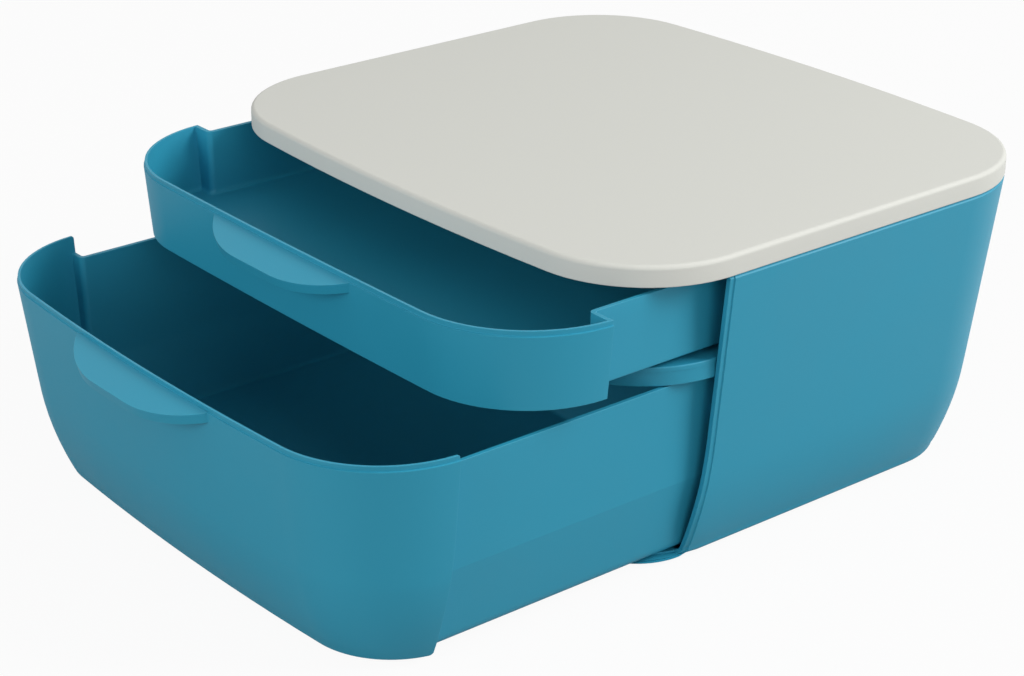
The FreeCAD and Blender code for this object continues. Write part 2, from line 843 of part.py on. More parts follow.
def add_pull(body, drawer):
    """Add the half-moon pull: a slab that leaves the front near the rim and slopes down."""
    reach, flat = size("pull_reach"), size("pull_flat") / 2
    side = size("pull_width") / 2 - flat
    radius = (side * side + reach * reach) / (reach * 2)
    sketch = sketch_on(body, "pull", height=level(drawer.pull_top))
    slope = FreeCAD.Rotation(FreeCAD.Vector(1, 0, 0), size("pull_slope_degrees").value)
    place = FreeCAD.Vector(0, -front_depth(drawer.name, drawer.pull_top).value, level(drawer.pull_top).value)
    sketch.AttachmentOffset = FreeCAD.Placement(place, slope)
    sketch.setExpression("AttachmentOffset.Base.y", (-front_depth(drawer.name, drawer.pull_top)).text)
    sketch.setExpression("AttachmentOffset.Rotation.Angle", size("pull_slope_degrees").text)
    cut_off_outline(sketch, Edge(flat + radius, reach, radius), -size("front_wall"))
    pad(body, sketch, size("pull_thickness"), down=True)


def make_drawer(doc, drawer):
    """Make one drawer in its closed place and pull it out to where it rests."""
    body = new_body(doc, f"{drawer.name}_drawer")
    add_tray(body, drawer)
    add_front(body, drawer)
    add_pull(body, drawer)
    cut_front(body, drawer)
    cut_tray(body, drawer)
    body.setExpression("Placement.Base.y", (-size(f"{drawer.name}_open")).text)
    return body


# ---------------------------------------------------------------- small pieces


def make_catches(doc, drawer):
    """Make the two catches clipped to the sides of a drawer, near its rear."""
    top = drawer.side_top + size("catch_drop")
    inner, outer = drawer.half_width(top), catch_outer(drawer)
    front = stop_rear() + size("stop_travel") + size("stop_gap") - size(f"{drawer.name}_open")
    low = level(top + size("stop_height"))
    extent = (outer - inner, size("catch_length"), size("stop_height"))
    return [
        box(doc, f"{drawer.name}_catch_{side}", (left, front, low), extent)
        for side, left in (("left", -outer), ("right", inner))
    ]


def make_glides(doc, drawer, carrier_top):
    """Make the two strips that a drawer slides on, stuck to what carries it."""
    width, length = size("glide_width"), size("glide_length")
    low = level(carrier_top)
    thickness = carrier_top - drawer.underside - size("glide_gap")
    front = size("glide_setback") - casing_front_edge()
    across = drawer.half_width(drawer.underside) - size("glide_margin")
    glides = []
    for side, middle in (("left", -across), ("right", across)):
        corner = (middle - width / 2, front, low)
        glides.append(box(doc, f"{drawer.name}_glide_{side}", corner, (width, length, thickness)))
    return glides


def make_feet(doc):
    """Make the four rubber feet, each let into the casing's underside."""
    half_x, half_y = foot_centre()
    height = size("foot_height") + size("foot_recess")
    feet = []
    for end, along in (("front", -half_y), ("rear", half_y)):
        for side, across in (("left", -half_x), ("right", half_x)):
            foot = cylinder(doc, f"foot_{end}_{side}", (across, along, plain(0)), size("foot_radius"), height)
            feet.append(foot)
    return feet


def make_screws(doc, name, across, along, head_top, length):
    """Make four screws as one group; each points up, its head under head_top."""
    screws = []
    for side in (-1, 1):
        for end in (-1, 1):
            place = (across * side, along * end)
            number = len(screws) + 1
            head_low = head_top - size("screw_head_height")
            head = cylinder(doc, f"{name}_head_{number}", (*place, head_low), size("screw_head_radius"),
                            size("screw_head_height"))
            shank = cylinder(doc, f"{name}_shank_{number}", (*place, head_top), size("screw_radius"), length)
            screw = doc.addObject("Part::MultiFuse", f"{name}_{number}")
            screw.Shapes = [head, shank]
            screws.append(screw)
    group = doc.addObject("Part::Compound", name)
    group.Label = name
    group.Links = screws
    return group


def make_all_screws(doc):
    """Make the screws under the cover and those under the shelf."""
    lug_underside = level(size("lug_thickness"))
    ledge_drop = size("shelf_drop") + size("shelf_thickness") + size("shelf_ledge_thickness")
    cover_length = size("lug_thickness") + size("cover_screw_bite") - size("screw_hole_gap")
    shelf_length = size("shelf_ledge_thickness") + size("shelf_screw_bite") - size("screw_hole_gap")
    return [
        make_screws(doc, "cover_screws", lug_centre(), size("cover_screw_spacing_y") / 2, lug_underside,
                    cover_length),
        make_screws(doc, "shelf_screws", ledge_centre(), size("shelf_screw_spacing_y") / 2, level(ledge_drop),
                    shelf_length),
    ]


# ---------------------------------------------------------------- build and write


def build(doc):
    """Build every piece and return them in the order of assembly."""
    upper, lower = Drawer("upper"), LowerDrawer()
    floor_top = size("casing_height") - size("casing_floor")
    return [
        make_casing(doc),
        make_cover(doc),
        make_shelf(doc),
        make_drawer(doc, upper),
        make_drawer(doc, lower),
        *make_catches(doc, upper),
        *make_catches(doc, lower),
        *make_glides(doc, upper, size("shelf_drop")),
        *make_glides(doc, lower, floor_top),
        *make_feet(doc),
        *make_all_screws(doc),
    ]


def check(doc, pieces):
    """Stop if any object failed or any piece has no sound shape."""
    for thing in doc.Objects:
        if "Invalid" in thing.State or "Error" in thing.State:
            raise RuntimeError(f"{thing.Name} failed: {thing.State}")
    for piece in pieces:
        if piece.Shape.isNull() or not piece.Shape.isValid():
            raise RuntimeError(f"{piece.Label} has no valid shape")


def main():
    doc = new_document()
    pieces = build(doc)
    doc.recompute()
    check(doc, pieces)
    os.makedirs("parts", exist_ok=True)
    for piece in pieces:
        piece.Shape.exportStep(f"parts/{piece.Label}.step")
        print(f"{piece.Label}: {len(piece.Shape.Solids)} solid(s), volume {piece.Shape.Volume:.0f}")


main()
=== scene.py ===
"""File box with two drawers: its moulded pieces, their plastic finishes and the studio around them.

All sizes are in millimetres until a piece is finished, when its mesh is scaled to metres. The frame is
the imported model's: origin at the centre of the footprint, +X to the right, +Y to the rear, +Z up.
"Depth" is measured down from the underside of the cover, and "closed" places are those of a drawer
pushed in; each drawer is then shifted forwards by how far it stands open.
"""
from __future__ import annotations

import logging
import math
from collections.abc import Callable
from dataclasses import dataclass, replace
from enum import Enum
from typing import ClassVar

import bmesh
import bpy
from bmesh.types import BMEdge, BMVert
from bpy.types import Material, Node, NodeSocket, NodeTree, Object
from mathutils import Matrix, Vector

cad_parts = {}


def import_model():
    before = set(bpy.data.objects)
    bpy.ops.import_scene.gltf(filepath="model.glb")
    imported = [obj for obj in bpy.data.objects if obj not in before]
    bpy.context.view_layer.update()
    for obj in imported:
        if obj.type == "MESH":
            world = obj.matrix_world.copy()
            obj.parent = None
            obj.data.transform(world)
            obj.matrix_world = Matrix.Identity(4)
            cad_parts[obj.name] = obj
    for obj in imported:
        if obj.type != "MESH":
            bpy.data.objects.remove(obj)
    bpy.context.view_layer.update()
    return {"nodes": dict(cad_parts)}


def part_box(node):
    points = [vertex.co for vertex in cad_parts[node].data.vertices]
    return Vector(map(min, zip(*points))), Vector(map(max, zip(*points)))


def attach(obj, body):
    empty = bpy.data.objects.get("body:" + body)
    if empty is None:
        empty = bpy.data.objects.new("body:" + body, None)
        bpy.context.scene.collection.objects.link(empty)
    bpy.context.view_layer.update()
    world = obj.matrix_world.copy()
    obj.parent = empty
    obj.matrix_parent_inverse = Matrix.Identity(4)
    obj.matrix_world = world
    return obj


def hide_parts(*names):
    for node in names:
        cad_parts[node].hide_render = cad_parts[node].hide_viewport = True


MM = 0.001  # in metres
CLOSE = 1e-3  # places no further apart than this count as one
OVERLAP = 0.2  # how far a joined part runs into its neighbour
SHARP = math.radians(55.0)  # edges that turn more than this are rounded off
SMOOTH_UP_TO = math.radians(50.0)  # edges that turn less than this are shaded smooth
FACE_AREA_WEIGHT = 100  # shading follows the large faces
LOG = logging.getLogger("file_box")

Colour = tuple[float, float, float]
Place = tuple[float, float, float]
Spot = tuple[float, float]
Level = tuple[float, float, float]


# ---------------------------------------------------------------- plan outlines and the leaning sides


def round_set(depth: float, base: float, radius: float, tilt: float = 0.0) -> float:
    """Tell how far a round at the foot of a leaning wall moves the wall in.

    Args:
        depth: where the wall is cut, in mm below the cover.
        base: depth of the flat that the round runs into.
        radius: radius of the round.
        tilt: lean of the wall from upright, in radians.

    Returns:
        The distance in mm, 0 above the round.
    """
    below = depth - (base - radius)
    if below <= -radius * math.sin(tilt):
        return 0.0
    flat = math.sqrt(max(radius * radius - below * below, 0.0))
    return radius / math.cos(tilt) - math.tan(tilt) * below - flat


def spread(first: float, last: float, steps: int) -> list[float]:
    """Give evenly spaced numbers from the first to the last, both included."""
    return [first + (last - first) * step / steps for step in range(steps + 1)]


def foot_depths(base: float, radius: float, steps: int = 4) -> list[float]:
    """Give the depths at which a round above a flat is cut, closer together near the flat."""
    angles = [math.pi / 2 * step / steps for step in range(1, steps + 1)]
    return [base - radius + radius * math.sin(angle) for angle in angles]


@dataclass(frozen=True)
class Outline:
    """A bowed edge and the two round corners beside it, as distances from the centre."""

    half_width: float
    reach: float
    corner: float
    bow: float

    def shrunk(self, wall: float) -> Outline:
        """Give the same outline moved in by a wall."""
        return Outline(self.half_width - wall, self.reach - wall, self.corner - wall, self.bow - wall)

    @property
    def centre(self) -> Spot:
        """Centre of the right-hand corner."""
        across = self.half_width - self.corner
        return across, self.reach - self.bow + math.sqrt((self.bow - self.corner) ** 2 - across**2)

    @property
    def turn(self) -> float:
        """Angle of the bow from its middle to where the corner starts."""
        return math.asin(self.centre[0] / (self.bow - self.corner))

    def on_bow(self, share: float) -> Spot:
        """Give a spot on the bow, from its middle (0) to the corner (1)."""
        angle = share * self.turn
        return self.bow * math.sin(angle), self.reach - self.bow + self.bow * math.cos(angle)

    def on_corner(self, share: float, cut: float | None = None) -> Spot:
        """Give a spot on the corner, from the bow (0) to the side, or to a cut across (1).

        Args:
            share: how far round the spot is.
            cut: distance along at which the corner is cut, if it is.

        Returns:
            The spot, forwards or rearwards positive.
        """
        across, along = self.centre
        start = math.pi / 2 - self.turn
        end = 0.0 if cut is None else math.asin(min(max((cut - along) / self.corner, -1.0), 1.0))
        angle = start + (max(end, 0.0) - start) * share
        return across + self.corner * math.cos(angle), along + self.corner * math.sin(angle)

    def half(self, bow_steps: int = 5, corner_steps: int = 16, cut: float | None = None) -> list[Spot]:
        """Give the right half's spots: along the bow, then round the corner to the side or to a cut."""
        bow = [self.on_bow(share) for share in spread(0, 1, bow_steps)]
        return bow + [self.on_corner(share, cut) for share in spread(0, 1, corner_steps)[1:]]

    def side_at(self, along: float) -> float:
        """Tell how far out the outline is at a distance along Y.

        Args:
            along: the distance, forwards or rearwards positive.

        Returns:
            Half the width there.
        """
        centre = self.centre
        past = along - centre[1]
        if past <= 0:
            return self.half_width
        return centre[0] + math.sqrt(max(self.corner**2 - past**2, 0.0))


@dataclass(frozen=True)
class Leaning:
    """An outline that draws in with the leaning side, its reach and its corners by shares of that."""

    half_width: float
    reach: float
    corner: float
    bow: float
    reach_lean: float
    corner_lean: float

    def at(self, depth: float) -> Outline:
        """Give the outline at a depth.

        Args:
            depth: where it is cut, in mm below the cover.

        Returns:
            The outline there.
        """
        lean = SHAPE.inset(depth)
        return Outline(
            self.half_width - lean,
            self.reach - self.reach_lean * lean,
            self.corner - self.corner_lean * lean,
            self.bow,
        )


@dataclass(frozen=True)
class BoxShape:
    """The body that the cover, the casing and the drawer fronts share."""

    slope: float = 0.104
    tuck_start: float = 114.0
    tuck_radius: float = 175.5
    base_tilt: float = math.radians(22.5)
    cover_underside: float = 168.2
    casing_end: float = 89.0
    end_lean: float = 2.7
    end_lean_start: float = 95.0
    end_lean_length: float = 55.0

    def end_run(self, depth: float) -> float:
        """Tell how far the joint between casing and fronts runs forwards, low down."""
        share = min(max(depth - self.end_lean_start, 0.0) / self.end_lean_length, 1.0)
        return self.end_lean * share * share * (3.0 - 2.0 * share)

    def inset(self, depth: float) -> float:
        """Tell how far the side leans in: straight at first, then along an arc."""
        past = max(0.0, depth - self.tuck_start)
        return self.slope * depth + self.tuck_radius - math.sqrt(self.tuck_radius**2 - past**2)

    def height(self, depth: float) -> float:
        """Give the height above the desk of a depth."""
        return self.cover_underside - depth


SHAPE = BoxShape()
BODY = Leaning(185.0, 160.0, 67.0, 1700.0, reach_lean=1.17, corner_lean=0.8)
UPPER_FRONT = Leaning(183.9, 157.0, 69.2, 6000.0, reach_lean=0.9, corner_lean=1.49)
LOWER_FRONT = Leaning(183.9, 160.6, 69.2, 1840.0, reach_lean=1.165, corner_lean=0.885)
TRAY_REAR = Leaning(0.0, 150.0, 58.0, 1700.0, reach_lean=1.1, corner_lean=0.9)


# ---------------------------------------------------------------- a piece under construction


def everywhere(place: Vector) -> bool:
    """Accept any place."""
    return True


class Mould:
    """A mesh under construction, in millimetres, that ends as one finished piece."""

    def __init__(self, name: str) -> None:
        """Start an empty piece.

        Args:
            name: the piece's name in the scene.
        """
        self.name = name
        self.bm = bmesh.new()

    def path(self, spots: list[Vector], closed: bool) -> list[BMVert]:
        """Draw a line of edges by pulling one vertex from spot to spot.

        Args:
            spots: places in order.
            closed: whether the last spot joins the first.

        Returns:
            The vertices in order.
        """
        verts = [bmesh.ops.create_vert(self.bm, co=spots[0])["vert"][0]]
        for spot in spots[1:]:
            pulled = bmesh.ops.extrude_vert_indiv(self.bm, verts=[verts[-1]])["verts"][0]
            pulled.co = spot
            verts.append(pulled)
        if closed:
            self.bm.edges.new((verts[-1], verts[0]))
        return verts

    def edges_along(self, verts: list[BMVert], closed: bool) -> list[BMEdge]:
        """Give the edges that join the vertices in order."""
        following = verts[1:] + verts[:1] if closed else verts[1:]
        return [self.bm.edges.get(pair) for pair in zip(verts, following)]

    def grow(self, verts: list[BMVert], spots: list[Vector], closed: bool) -> list[BMVert]:
        """Extrude a line of edges and move the copy to new spots, which makes a strip of faces.

        Args:
            verts: the line's vertices in order.
            spots: one new place for each.
            closed: whether the line is a ring.

        Returns:
            The new vertices in the same order.
        """
        geometry = bmesh.ops.extrude_edge_only(self.bm, edges=self.edges_along(verts, closed))["geom"]
        fresh = {item for item in geometry if isinstance(item, BMVert)}
        grown = []
        for vert, spot in zip(verts, spots):
            joined = (edge.other_vert(vert) for edge in vert.link_edges)
            grown.append(next(other for other in joined if other in fresh))
            grown[-1].co = spot
        return grown

    def cap(self, verts: list[BMVert]) -> None:
        """Close a ring of edges with one face, adding the edge across if the line is open.

        Args:
            verts: the vertices in order.
        """
        if self.bm.edges.get((verts[-1], verts[0])) is None:
            self.bm.edges.new((verts[-1], verts[0]))
        bmesh.ops.edgeloop_fill(self.bm, edges=self.edges_along(verts, closed=True))

    def patch(self, *verts: BMVert) -> None:
        """Add one small face over a few vertices in order."""
        if self.bm.faces.get(verts) is None:
            self.bm.faces.new(verts)

    def sweep(
        self, line: list[BMVert], sections: list[list[Vector]], closed: bool = True
    ) -> list[list[BMVert]]:
        """Carry a line of vertices on through sections, which makes a wall.

        Args:
            line: the line's vertices in order.
            sections: the wall's next sections, each with one place for each vertex.
            closed: whether the line is a ring.

        Returns:
            The line, and its copy at each section.
        """
        lines = [line]
        for spots in sections:
            lines.append(self.grow(lines[-1], spots, closed))
        return lines

    def solid(self, sections: list[list[Vector]]) -> None:
        """Add a solid with a wall through several rings of spots and a face at either end.

        Args:
            sections: the rings in order, with equal numbers of spots.
        """
        lines = self.sweep(self.path(sections[0], closed=True), sections[1:])
        self.cap(lines[0])
        self.cap(lines[-1])

    def strip(self, first: list[BMVert], second: list[BMVert]) -> None:
        """Fill the strip between two lines of vertices that both run downwards.

        Args:
            first: vertices of one line, from its top.
            second: vertices of the other line, from its top.
        """
        one, other = 0, 0
        while one + 1 < len(first) or other + 1 < len(second):
            ahead = first[one + 1].co.z if one + 1 < len(first) else -math.inf
            across = second[other + 1].co.z if other + 1 < len(second) else -math.inf
            corners = [second[other], first[one]]
            if ahead >= across - CLOSE:
                one += 1
                corners.append(first[one])
            if across >= ahead - CLOSE:
                other += 1
                corners.append(second[other])
            self.patch(*corners)

    def drop_faces(self, first: list[BMVert], second: list[BMVert]) -> None:
        """Delete the faces of a strip that lie between two lines of vertices."""
        found = [self.bm.faces.get(corners) for corners in zip(first, first[1:], second[1:], second)]
        bmesh.ops.delete(self.bm, geom=[face for face in found if face], context="FACES_ONLY")

    def merge(self) -> None:
        """Join vertices that share a place, drop edges without faces and turn all faces outwards."""
        bare = [edge for edge in self.bm.edges if not edge.link_faces]
        bmesh.ops.delete(self.bm, geom=bare, context="EDGES")
        bmesh.ops.remove_doubles(self.bm, verts=self.bm.verts, dist=CLOSE)
        bmesh.ops.dissolve_degenerate(self.bm, dist=CLOSE, edges=self.bm.edges)
        bmesh.ops.recalc_face_normals(self.bm, faces=self.bm.faces)

    def sharp_edges(self, inside: Callable[[Vector], bool] = everywhere) -> list[BMEdge]:
        """Find edges between two faces that meet at a sharp angle.

        Args:
            inside: test that both ends of an edge have to pass.

        Returns:
            The edges.
        """
        return [
            edge
            for edge in self.bm.edges
            if len(edge.link_faces) == 2
            and edge.calc_face_angle(0.0) > SHARP
            and all(inside(vert.co) for vert in edge.verts)
        ]

    def soften(self, edges: list[BMEdge], radius: float, segments: int = 2) -> None:
        """Round edges off.

        Args:
            edges: the edges.
            radius: radius of the round.
            segments: faces across the round.
        """
        bmesh.ops.bevel(
            self.bm,
            geom=edges,
            offset=radius,
            offset_type="OFFSET",
            segments=segments,
            profile=0.5,
            affect="EDGES",
            clamp_overlap=True,
            material=-1,
            loop_slide=True,
        )

    def take(self, other: Mould) -> None:
        """Add another mesh to this one.

        Args:
            other: the mesh to add, which is used up.
        """
        spare = bpy.data.meshes.new(other.name)
        other.bm.to_mesh(spare)
        other.bm.free()
        self.bm.from_mesh(spare)
        bpy.data.meshes.remove(spare)

    def twin_blocks(self, low: Vector, high: Vector, radius: float = 0.4) -> None:
        """Add a small block with softened edges on the right, and its mirror image on the left.

        Args:
            low: the right-hand block's lowest corner.
            high: its highest corner.
            radius: how far the edges are rounded.
        """
        middle = (high + low) / 2
        for side in (1, -1):
            made = bmesh.ops.create_cube(self.bm, size=1.0)["verts"]
            bmesh.ops.scale(self.bm, vec=high - low, verts=made)
            bmesh.ops.translate(self.bm, vec=(side * middle.x, middle.y, middle.z), verts=made)
            self.soften(list({edge for vert in made for edge in vert.link_edges}), radius)

    def finish(self, material: Material, body: str, slot: str, *nodes: str) -> Object:
        """Turn the mesh into a piece of the scene.

        Args:
            material: its finish.
            body: the moving or fixed body that it rides on.
            slot: the name of a material slot; not used.
            nodes: the solids that it stands for.

        Returns:
            The finished object.
        """
        bmesh.ops.scale(self.bm, vec=Vector((MM, MM, MM)), verts=self.bm.verts)
        mesh = bpy.data.meshes.new(self.name)
        self.bm.to_mesh(mesh)
        self.bm.free()
        mesh.shade_smooth()
        mesh.set_sharp_from_angle(angle=SMOOTH_UP_TO)
        mesh.materials.append(material)
        piece = bpy.data.objects.new(self.name, mesh)
        bpy.context.scene.collection.objects.link(piece)
        weights = piece.modifiers.new("even_shading", "WEIGHTED_NORMAL")
        weights.keep_sharp = True
        weights.weight = FACE_AREA_WEIGHT
        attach(piece, body)
        if nodes:
            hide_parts(*nodes)
        LOG.info("%s: %d faces, rides on %s", self.name, len(mesh.polygons), body)
        return piece


# ---------------------------------------------------------------- shared effects and finishes


class Graph:
    """A node tree, with short ways to add nodes and to fill and join their sockets."""

    def __init__(self, tree: NodeTree) -> None:
        """Work on a tree.

        Args:
            tree: the tree of a material, the world or a group.
        """
        self.tree = tree

    def feed(self, node: Node, sockets: dict) -> None:
        """Fill a node's inputs.

        Args:
            node: the node.
            sockets: for each input, the value that it holds or the output that feeds it.
        """
        for name, source in sockets.items():
            if isinstance(source, NodeSocket):
                self.tree.links.new(source, node.inputs[name])
            else:
                node.inputs[name].default_value = source

    def add(self, kind: str, sockets: dict | None = None, **settings: object) -> Node:
        """Add a node.

        Args:
            kind: its type.
            sockets: what its inputs hold or are fed from.
            settings: its own settings, made before its inputs are filled.

        Returns:
            The node.
        """
        node = self.tree.nodes.new(kind)
        for name, value in settings.items():
            setattr(node, name, value)
        self.feed(node, sockets or {})
        return node

    def mix(self, share: NodeSocket, first: object, second: object) -> NodeSocket:
        """Blend two colours, each a colour's output or its three parts, and give the result.

        Args:
            share: how much of the second colour shows.
            first: the first colour.
            second: the second colour.

        Returns:
            The output that gives the blend.
        """
        ends = [end if isinstance(end, NodeSocket) else (*end, 1.0) for end in (first, second)]
        sockets = {"Factor": share, "A": ends[0], "B": ends[1]}
        return self.add("ShaderNodeMix", sockets, data_type="RGBA").outputs["Result"]


class Effect(Enum):
    """The node groups that several finishes share."""

    GRAIN = "moulded_grain"
    EDGE_WEAR_AND_SHADE = "edge_wear_and_shade"


def new_group(
    kind: Effect, inputs: dict[str, float], outputs: tuple[str, ...]
) -> tuple[Graph, Node, Node]:
    """Start a node group.

    Args:
        kind: the effect that it makes.
        inputs: its inputs' names and what they hold at first.
        outputs: its outputs' names.

    Returns:
        Its graph, and the nodes that bring its inputs in and take its outputs out.
    """
    tree = bpy.data.node_groups.new(kind.value, "ShaderNodeTree")
    for name, value in inputs.items():
        socket = tree.interface.new_socket(name, in_out="INPUT", socket_type="NodeSocketFloat")
        socket.default_value = value
    for name in outputs:
        tree.interface.new_socket(name, in_out="OUTPUT", socket_type="NodeSocketFloat")
    graph = Graph(tree)
    return graph, graph.add("NodeGroupInput"), graph.add("NodeGroupOutput")


def grain_group() -> NodeTree:
    """Build the group for the fine pitted skin that a textured mould leaves on plastic.

    Returns:
        A group with Scale and Cloud Scale in, and Height and Cloud out.
    """
    inputs = {"Scale": 1800.0, "Cloud Scale": 9.0}
    graph, start, end = new_group(Effect.GRAIN, inputs, ("Height", "Cloud"))
    place = graph.add("ShaderNodeTexCoord").outputs["Object"]
    fine = {"Vector": place, "Scale": start.outputs["Scale"]}
    coarse = {"Vector": place, "Scale": start.outputs["Cloud Scale"]}
    pits = graph.add("ShaderNodeTexNoise", fine | {"Detail": 3.0, "Roughness": 0.6})
    cells = graph.add("ShaderNodeTexVoronoi", fine, feature="SMOOTH_F1")
    clouds = graph.add("ShaderNodeTexNoise", coarse | {"Detail": 4.0, "Roughness": 0.5})
    cell_share = 0.45
    sockets = {0: cells.outputs["Distance"], 1: cell_share, 2: pits.outputs["Fac"]}
    height = graph.add("ShaderNodeMath", sockets, operation="MULTIPLY_ADD")
    graph.feed(end, {"Height": height.outputs["Value"], "Cloud": clouds.outputs["Fac"]})
    return graph.tree


def edge_wear_and_shade_group() -> NodeTree:
    """Build the group that finds edges, where handling has polished the plastic and where the cover's
    finish paints shade, and breaks them up.

    Returns:
        A group with Breakup in and Mask out.
    """
    # edge mask: it carries wear on most finishes and painted shade along the cover's edges
    graph, start, end = new_group(Effect.EDGE_WEAR_AND_SHADE, {"Breakup": 140.0}, ("Mask",))
    rounded = graph.add("ShaderNodeBevel", {"Radius": 1.1 * MM}, samples=4)
    flat = graph.add("ShaderNodeNewGeometry")
    normals = {0: rounded.outputs["Normal"], 1: flat.outputs["Normal"]}
    alike = graph.add("ShaderNodeVectorMath", normals, operation="DOT_PRODUCT")
    sockets = {"Value": alike.outputs["Value"], "From Min": 0.995, "From Max": 0.86}
    edge = graph.add("ShaderNodeMapRange", sockets)
    place = graph.add("ShaderNodeTexCoord").outputs["Object"]
    sockets = {"Vector": place, "Scale": start.outputs["Breakup"], "Detail": 3.0}
    patches = graph.add("ShaderNodeTexNoise", sockets)
    sockets = {"Value": patches.outputs["Fac"], "From Min": 0.3, "From Max": 0.65, "To Min": 0.45}
    patchy = graph.add("ShaderNodeMapRange", sockets)
    sockets = {0: edge.outputs["Result"], 1: patchy.outputs["Result"]}
    mask = graph.add("ShaderNodeMath", sockets, operation="MULTIPLY")
    graph.feed(end, {"Mask": mask.outputs["Value"]})
    return graph.tree


EFFECT_BUILDERS = {Effect.GRAIN: grain_group, Effect.EDGE_WEAR_AND_SHADE: edge_wear_and_shade_group}


def effect(kind: Effect) -> NodeTree:
    """Give a shared group, building it the first time."""
    return bpy.data.node_groups.get(kind.value) or EFFECT_BUILDERS[kind]()


def new_material(name: str) -> tuple[Material, Graph, Node]:
    """Start a material, and give it with its graph and its shader.

    Args:
        name: the material's name.

    Returns:
        The material, its graph and its shader.
    """
    material = bpy.data.materials.new(name)
    material.use_nodes = True
    return material, Graph(material.node_tree), material.node_tree.nodes["Principled BSDF"]


@dataclass(frozen=True)
class MouldedPlastic:
    """Satin injection-moulded plastic with a fine grain, faint clouding and a colour of its own along
    the edges: wear, and on the cover painted shade.
    """

    name: str
    colour: Colour
    edge_wear_and_shade_colour: Colour
    roughness: float = 0.5
    roughness_change: float = 0.05
    specular: float = 0.5
    grain_scale: float = 1800.0
    grain_depth: float = 0.03 * MM
    grain_strength: float = 0.6
    clouding: float = 0.05

    def material(self) -> Material:
        """Build the material, or give the one that is already there.

        Returns:
            The material.
        """
        ready = bpy.data.materials.get(self.name)
        if ready is not None:
            return ready
        material, graph, shader = new_material(self.name)
        scale = {"Scale": self.grain_scale}
        grain = graph.add("ShaderNodeGroup", scale, node_tree=effect(Effect.GRAIN)).outputs
        # edge mask: blends in the edge colour, wear on most finishes and painted shade along the
        # cover's edges
        wear_and_shade = graph.add("ShaderNodeGroup", node_tree=effect(Effect.EDGE_WEAR_AND_SHADE)).outputs
        darker = tuple(part * (1.0 - self.clouding) for part in self.colour)
        lighter = tuple(min(part * (1.0 + self.clouding), 1.0) for part in self.colour)
        tint = graph.mix(grain["Cloud"], darker, lighter)
        sockets = {
            "Value": grain["Cloud"],
            "From Min": 0.3,
            "From Max": 0.7,
            "To Min": self.roughness - self.roughness_change,
            "To Max": self.roughness + self.roughness_change,
        }
        gloss = graph.add("ShaderNodeMapRange", sockets)
        size = {"Strength": self.grain_strength, "Distance": self.grain_depth}
        bump = graph.add("ShaderNodeBump", size | {"Height": grain["Height"]})
        sockets = {
            "Specular IOR Level": self.specular,
            "Base Color": graph.mix(wear_and_shade["Mask"], tint, self.edge_wear_and_shade_colour),
            "Roughness": gloss.outputs["Result"],
            "Normal": bump.outputs["Normal"],
        }
        graph.feed(shader, sockets)
        return material


@dataclass(frozen=True)
class PlatedSteel:
    """Zinc-plated steel of the screws, with faint turning marks."""

    name: str = "plated_steel"
    colour: Colour = (0.62, 0.62, 0.63)
    roughness_range: tuple[float, float] = (0.24, 0.44)

    def material(self) -> Material:
        """Build the material.

        Returns:
            The material.
        """
        material, graph, shader = new_material(self.name)
        grain = graph.add("ShaderNodeGroup", node_tree=effect(Effect.GRAIN))
        low, high = self.roughness_range
        sockets = {"Value": grain.outputs["Height"], "To Min": low, "To Max": high}
        gloss = graph.add("ShaderNodeMapRange", sockets)
        metal = {"Base Color": (*self.colour, 1.0), "Metallic": 1.0}
        graph.feed(shader, metal | {"Roughness": gloss.outputs["Result"]})
        return material


# ---------------------------------------------------------------- stations of a closed outline


def forwards(half: list[Spot]) -> list[Spot]:
    """Turn spots whose distance along counts forwards into spots along Y."""
    return [(across, -along) for across, along in half]


def mirrored(half: list[Spot], height: float) -> list[Vector]:
    """Complete a ring from its right half.

    Args:
        half: its spots, from the middle of the front to that of the rear.
        height: height of the ring.
    """
    left = [(-across, along) for across, along in half[-2:0:-1]]
    return [Vector((*spot, height)) for spot in half + left]


def mirrored_line(half: list[Spot], height: float) -> list[Vector]:
    """Complete a line, from left to right, from its right half.

    Args:
        half: its spots, from the middle to the right.
        height: height of the line.
    """
    left = [(-across, along) for across, along in half[:0:-1]]
    return [Vector((*spot, height)) for spot in left + half]


def closed_ring(front: Outline, rear: Outline, height: float) -> list[Vector]:
    """Give the spots round a closed outline.

    Args:
        front: outline whose bow and corners face forwards.
        rear: outline whose bow and corners face the rear.
        height: height of the spots.

    Returns:
        The spots, starting in the middle of the front and running to the right.
    """
    return mirrored(forwards(front.half()) + rear.half()[::-1], height)


def front_line(front: Outline, cut: float, height: float) -> list[Vector]:
    """Give the spots along a front and round its corners to a cut, from left to right."""
    return mirrored_line(forwards(front.half(cut=cut)), height)


# ---------------------------------------------------------------- cover


@dataclass
class Cover:
    """The flat cover with its rounded corners and soft upper edge."""

    finish: MouldedPlastic
    thickness: float = 11.5
    upper_round: float = 2.5
    lower_round: float = 0.5
    body: str = "base"

    def build(self) -> Object:
        """Model the cover as a slab and soften its two edges.

        Returns:
            The finished piece.
        """
        mould = Mould("cover_slab")
        outline = BODY.at(0.0)
        base = SHAPE.height(0.0)
        top = base + self.thickness
        mould.solid([closed_ring(outline, outline, height) for height in (base, top)])
        mould.merge()
        middle = (base + top) / 2
        mould.soften(mould.sharp_edges(lambda place: place.z > middle), self.upper_round, segments=4)
        mould.soften(mould.sharp_edges(), self.lower_round)
        return mould.finish(self.finish.material(), self.body, "top_cover", "top_cover")


# ---------------------------------------------------------------- casing


@dataclass(frozen=True)
class Block:
    """A small block on the right-hand wall: where it lies across and along, and its two depths."""

    inner: float
    front: float
    outer: float
    rear: float
    top: float
    base: float


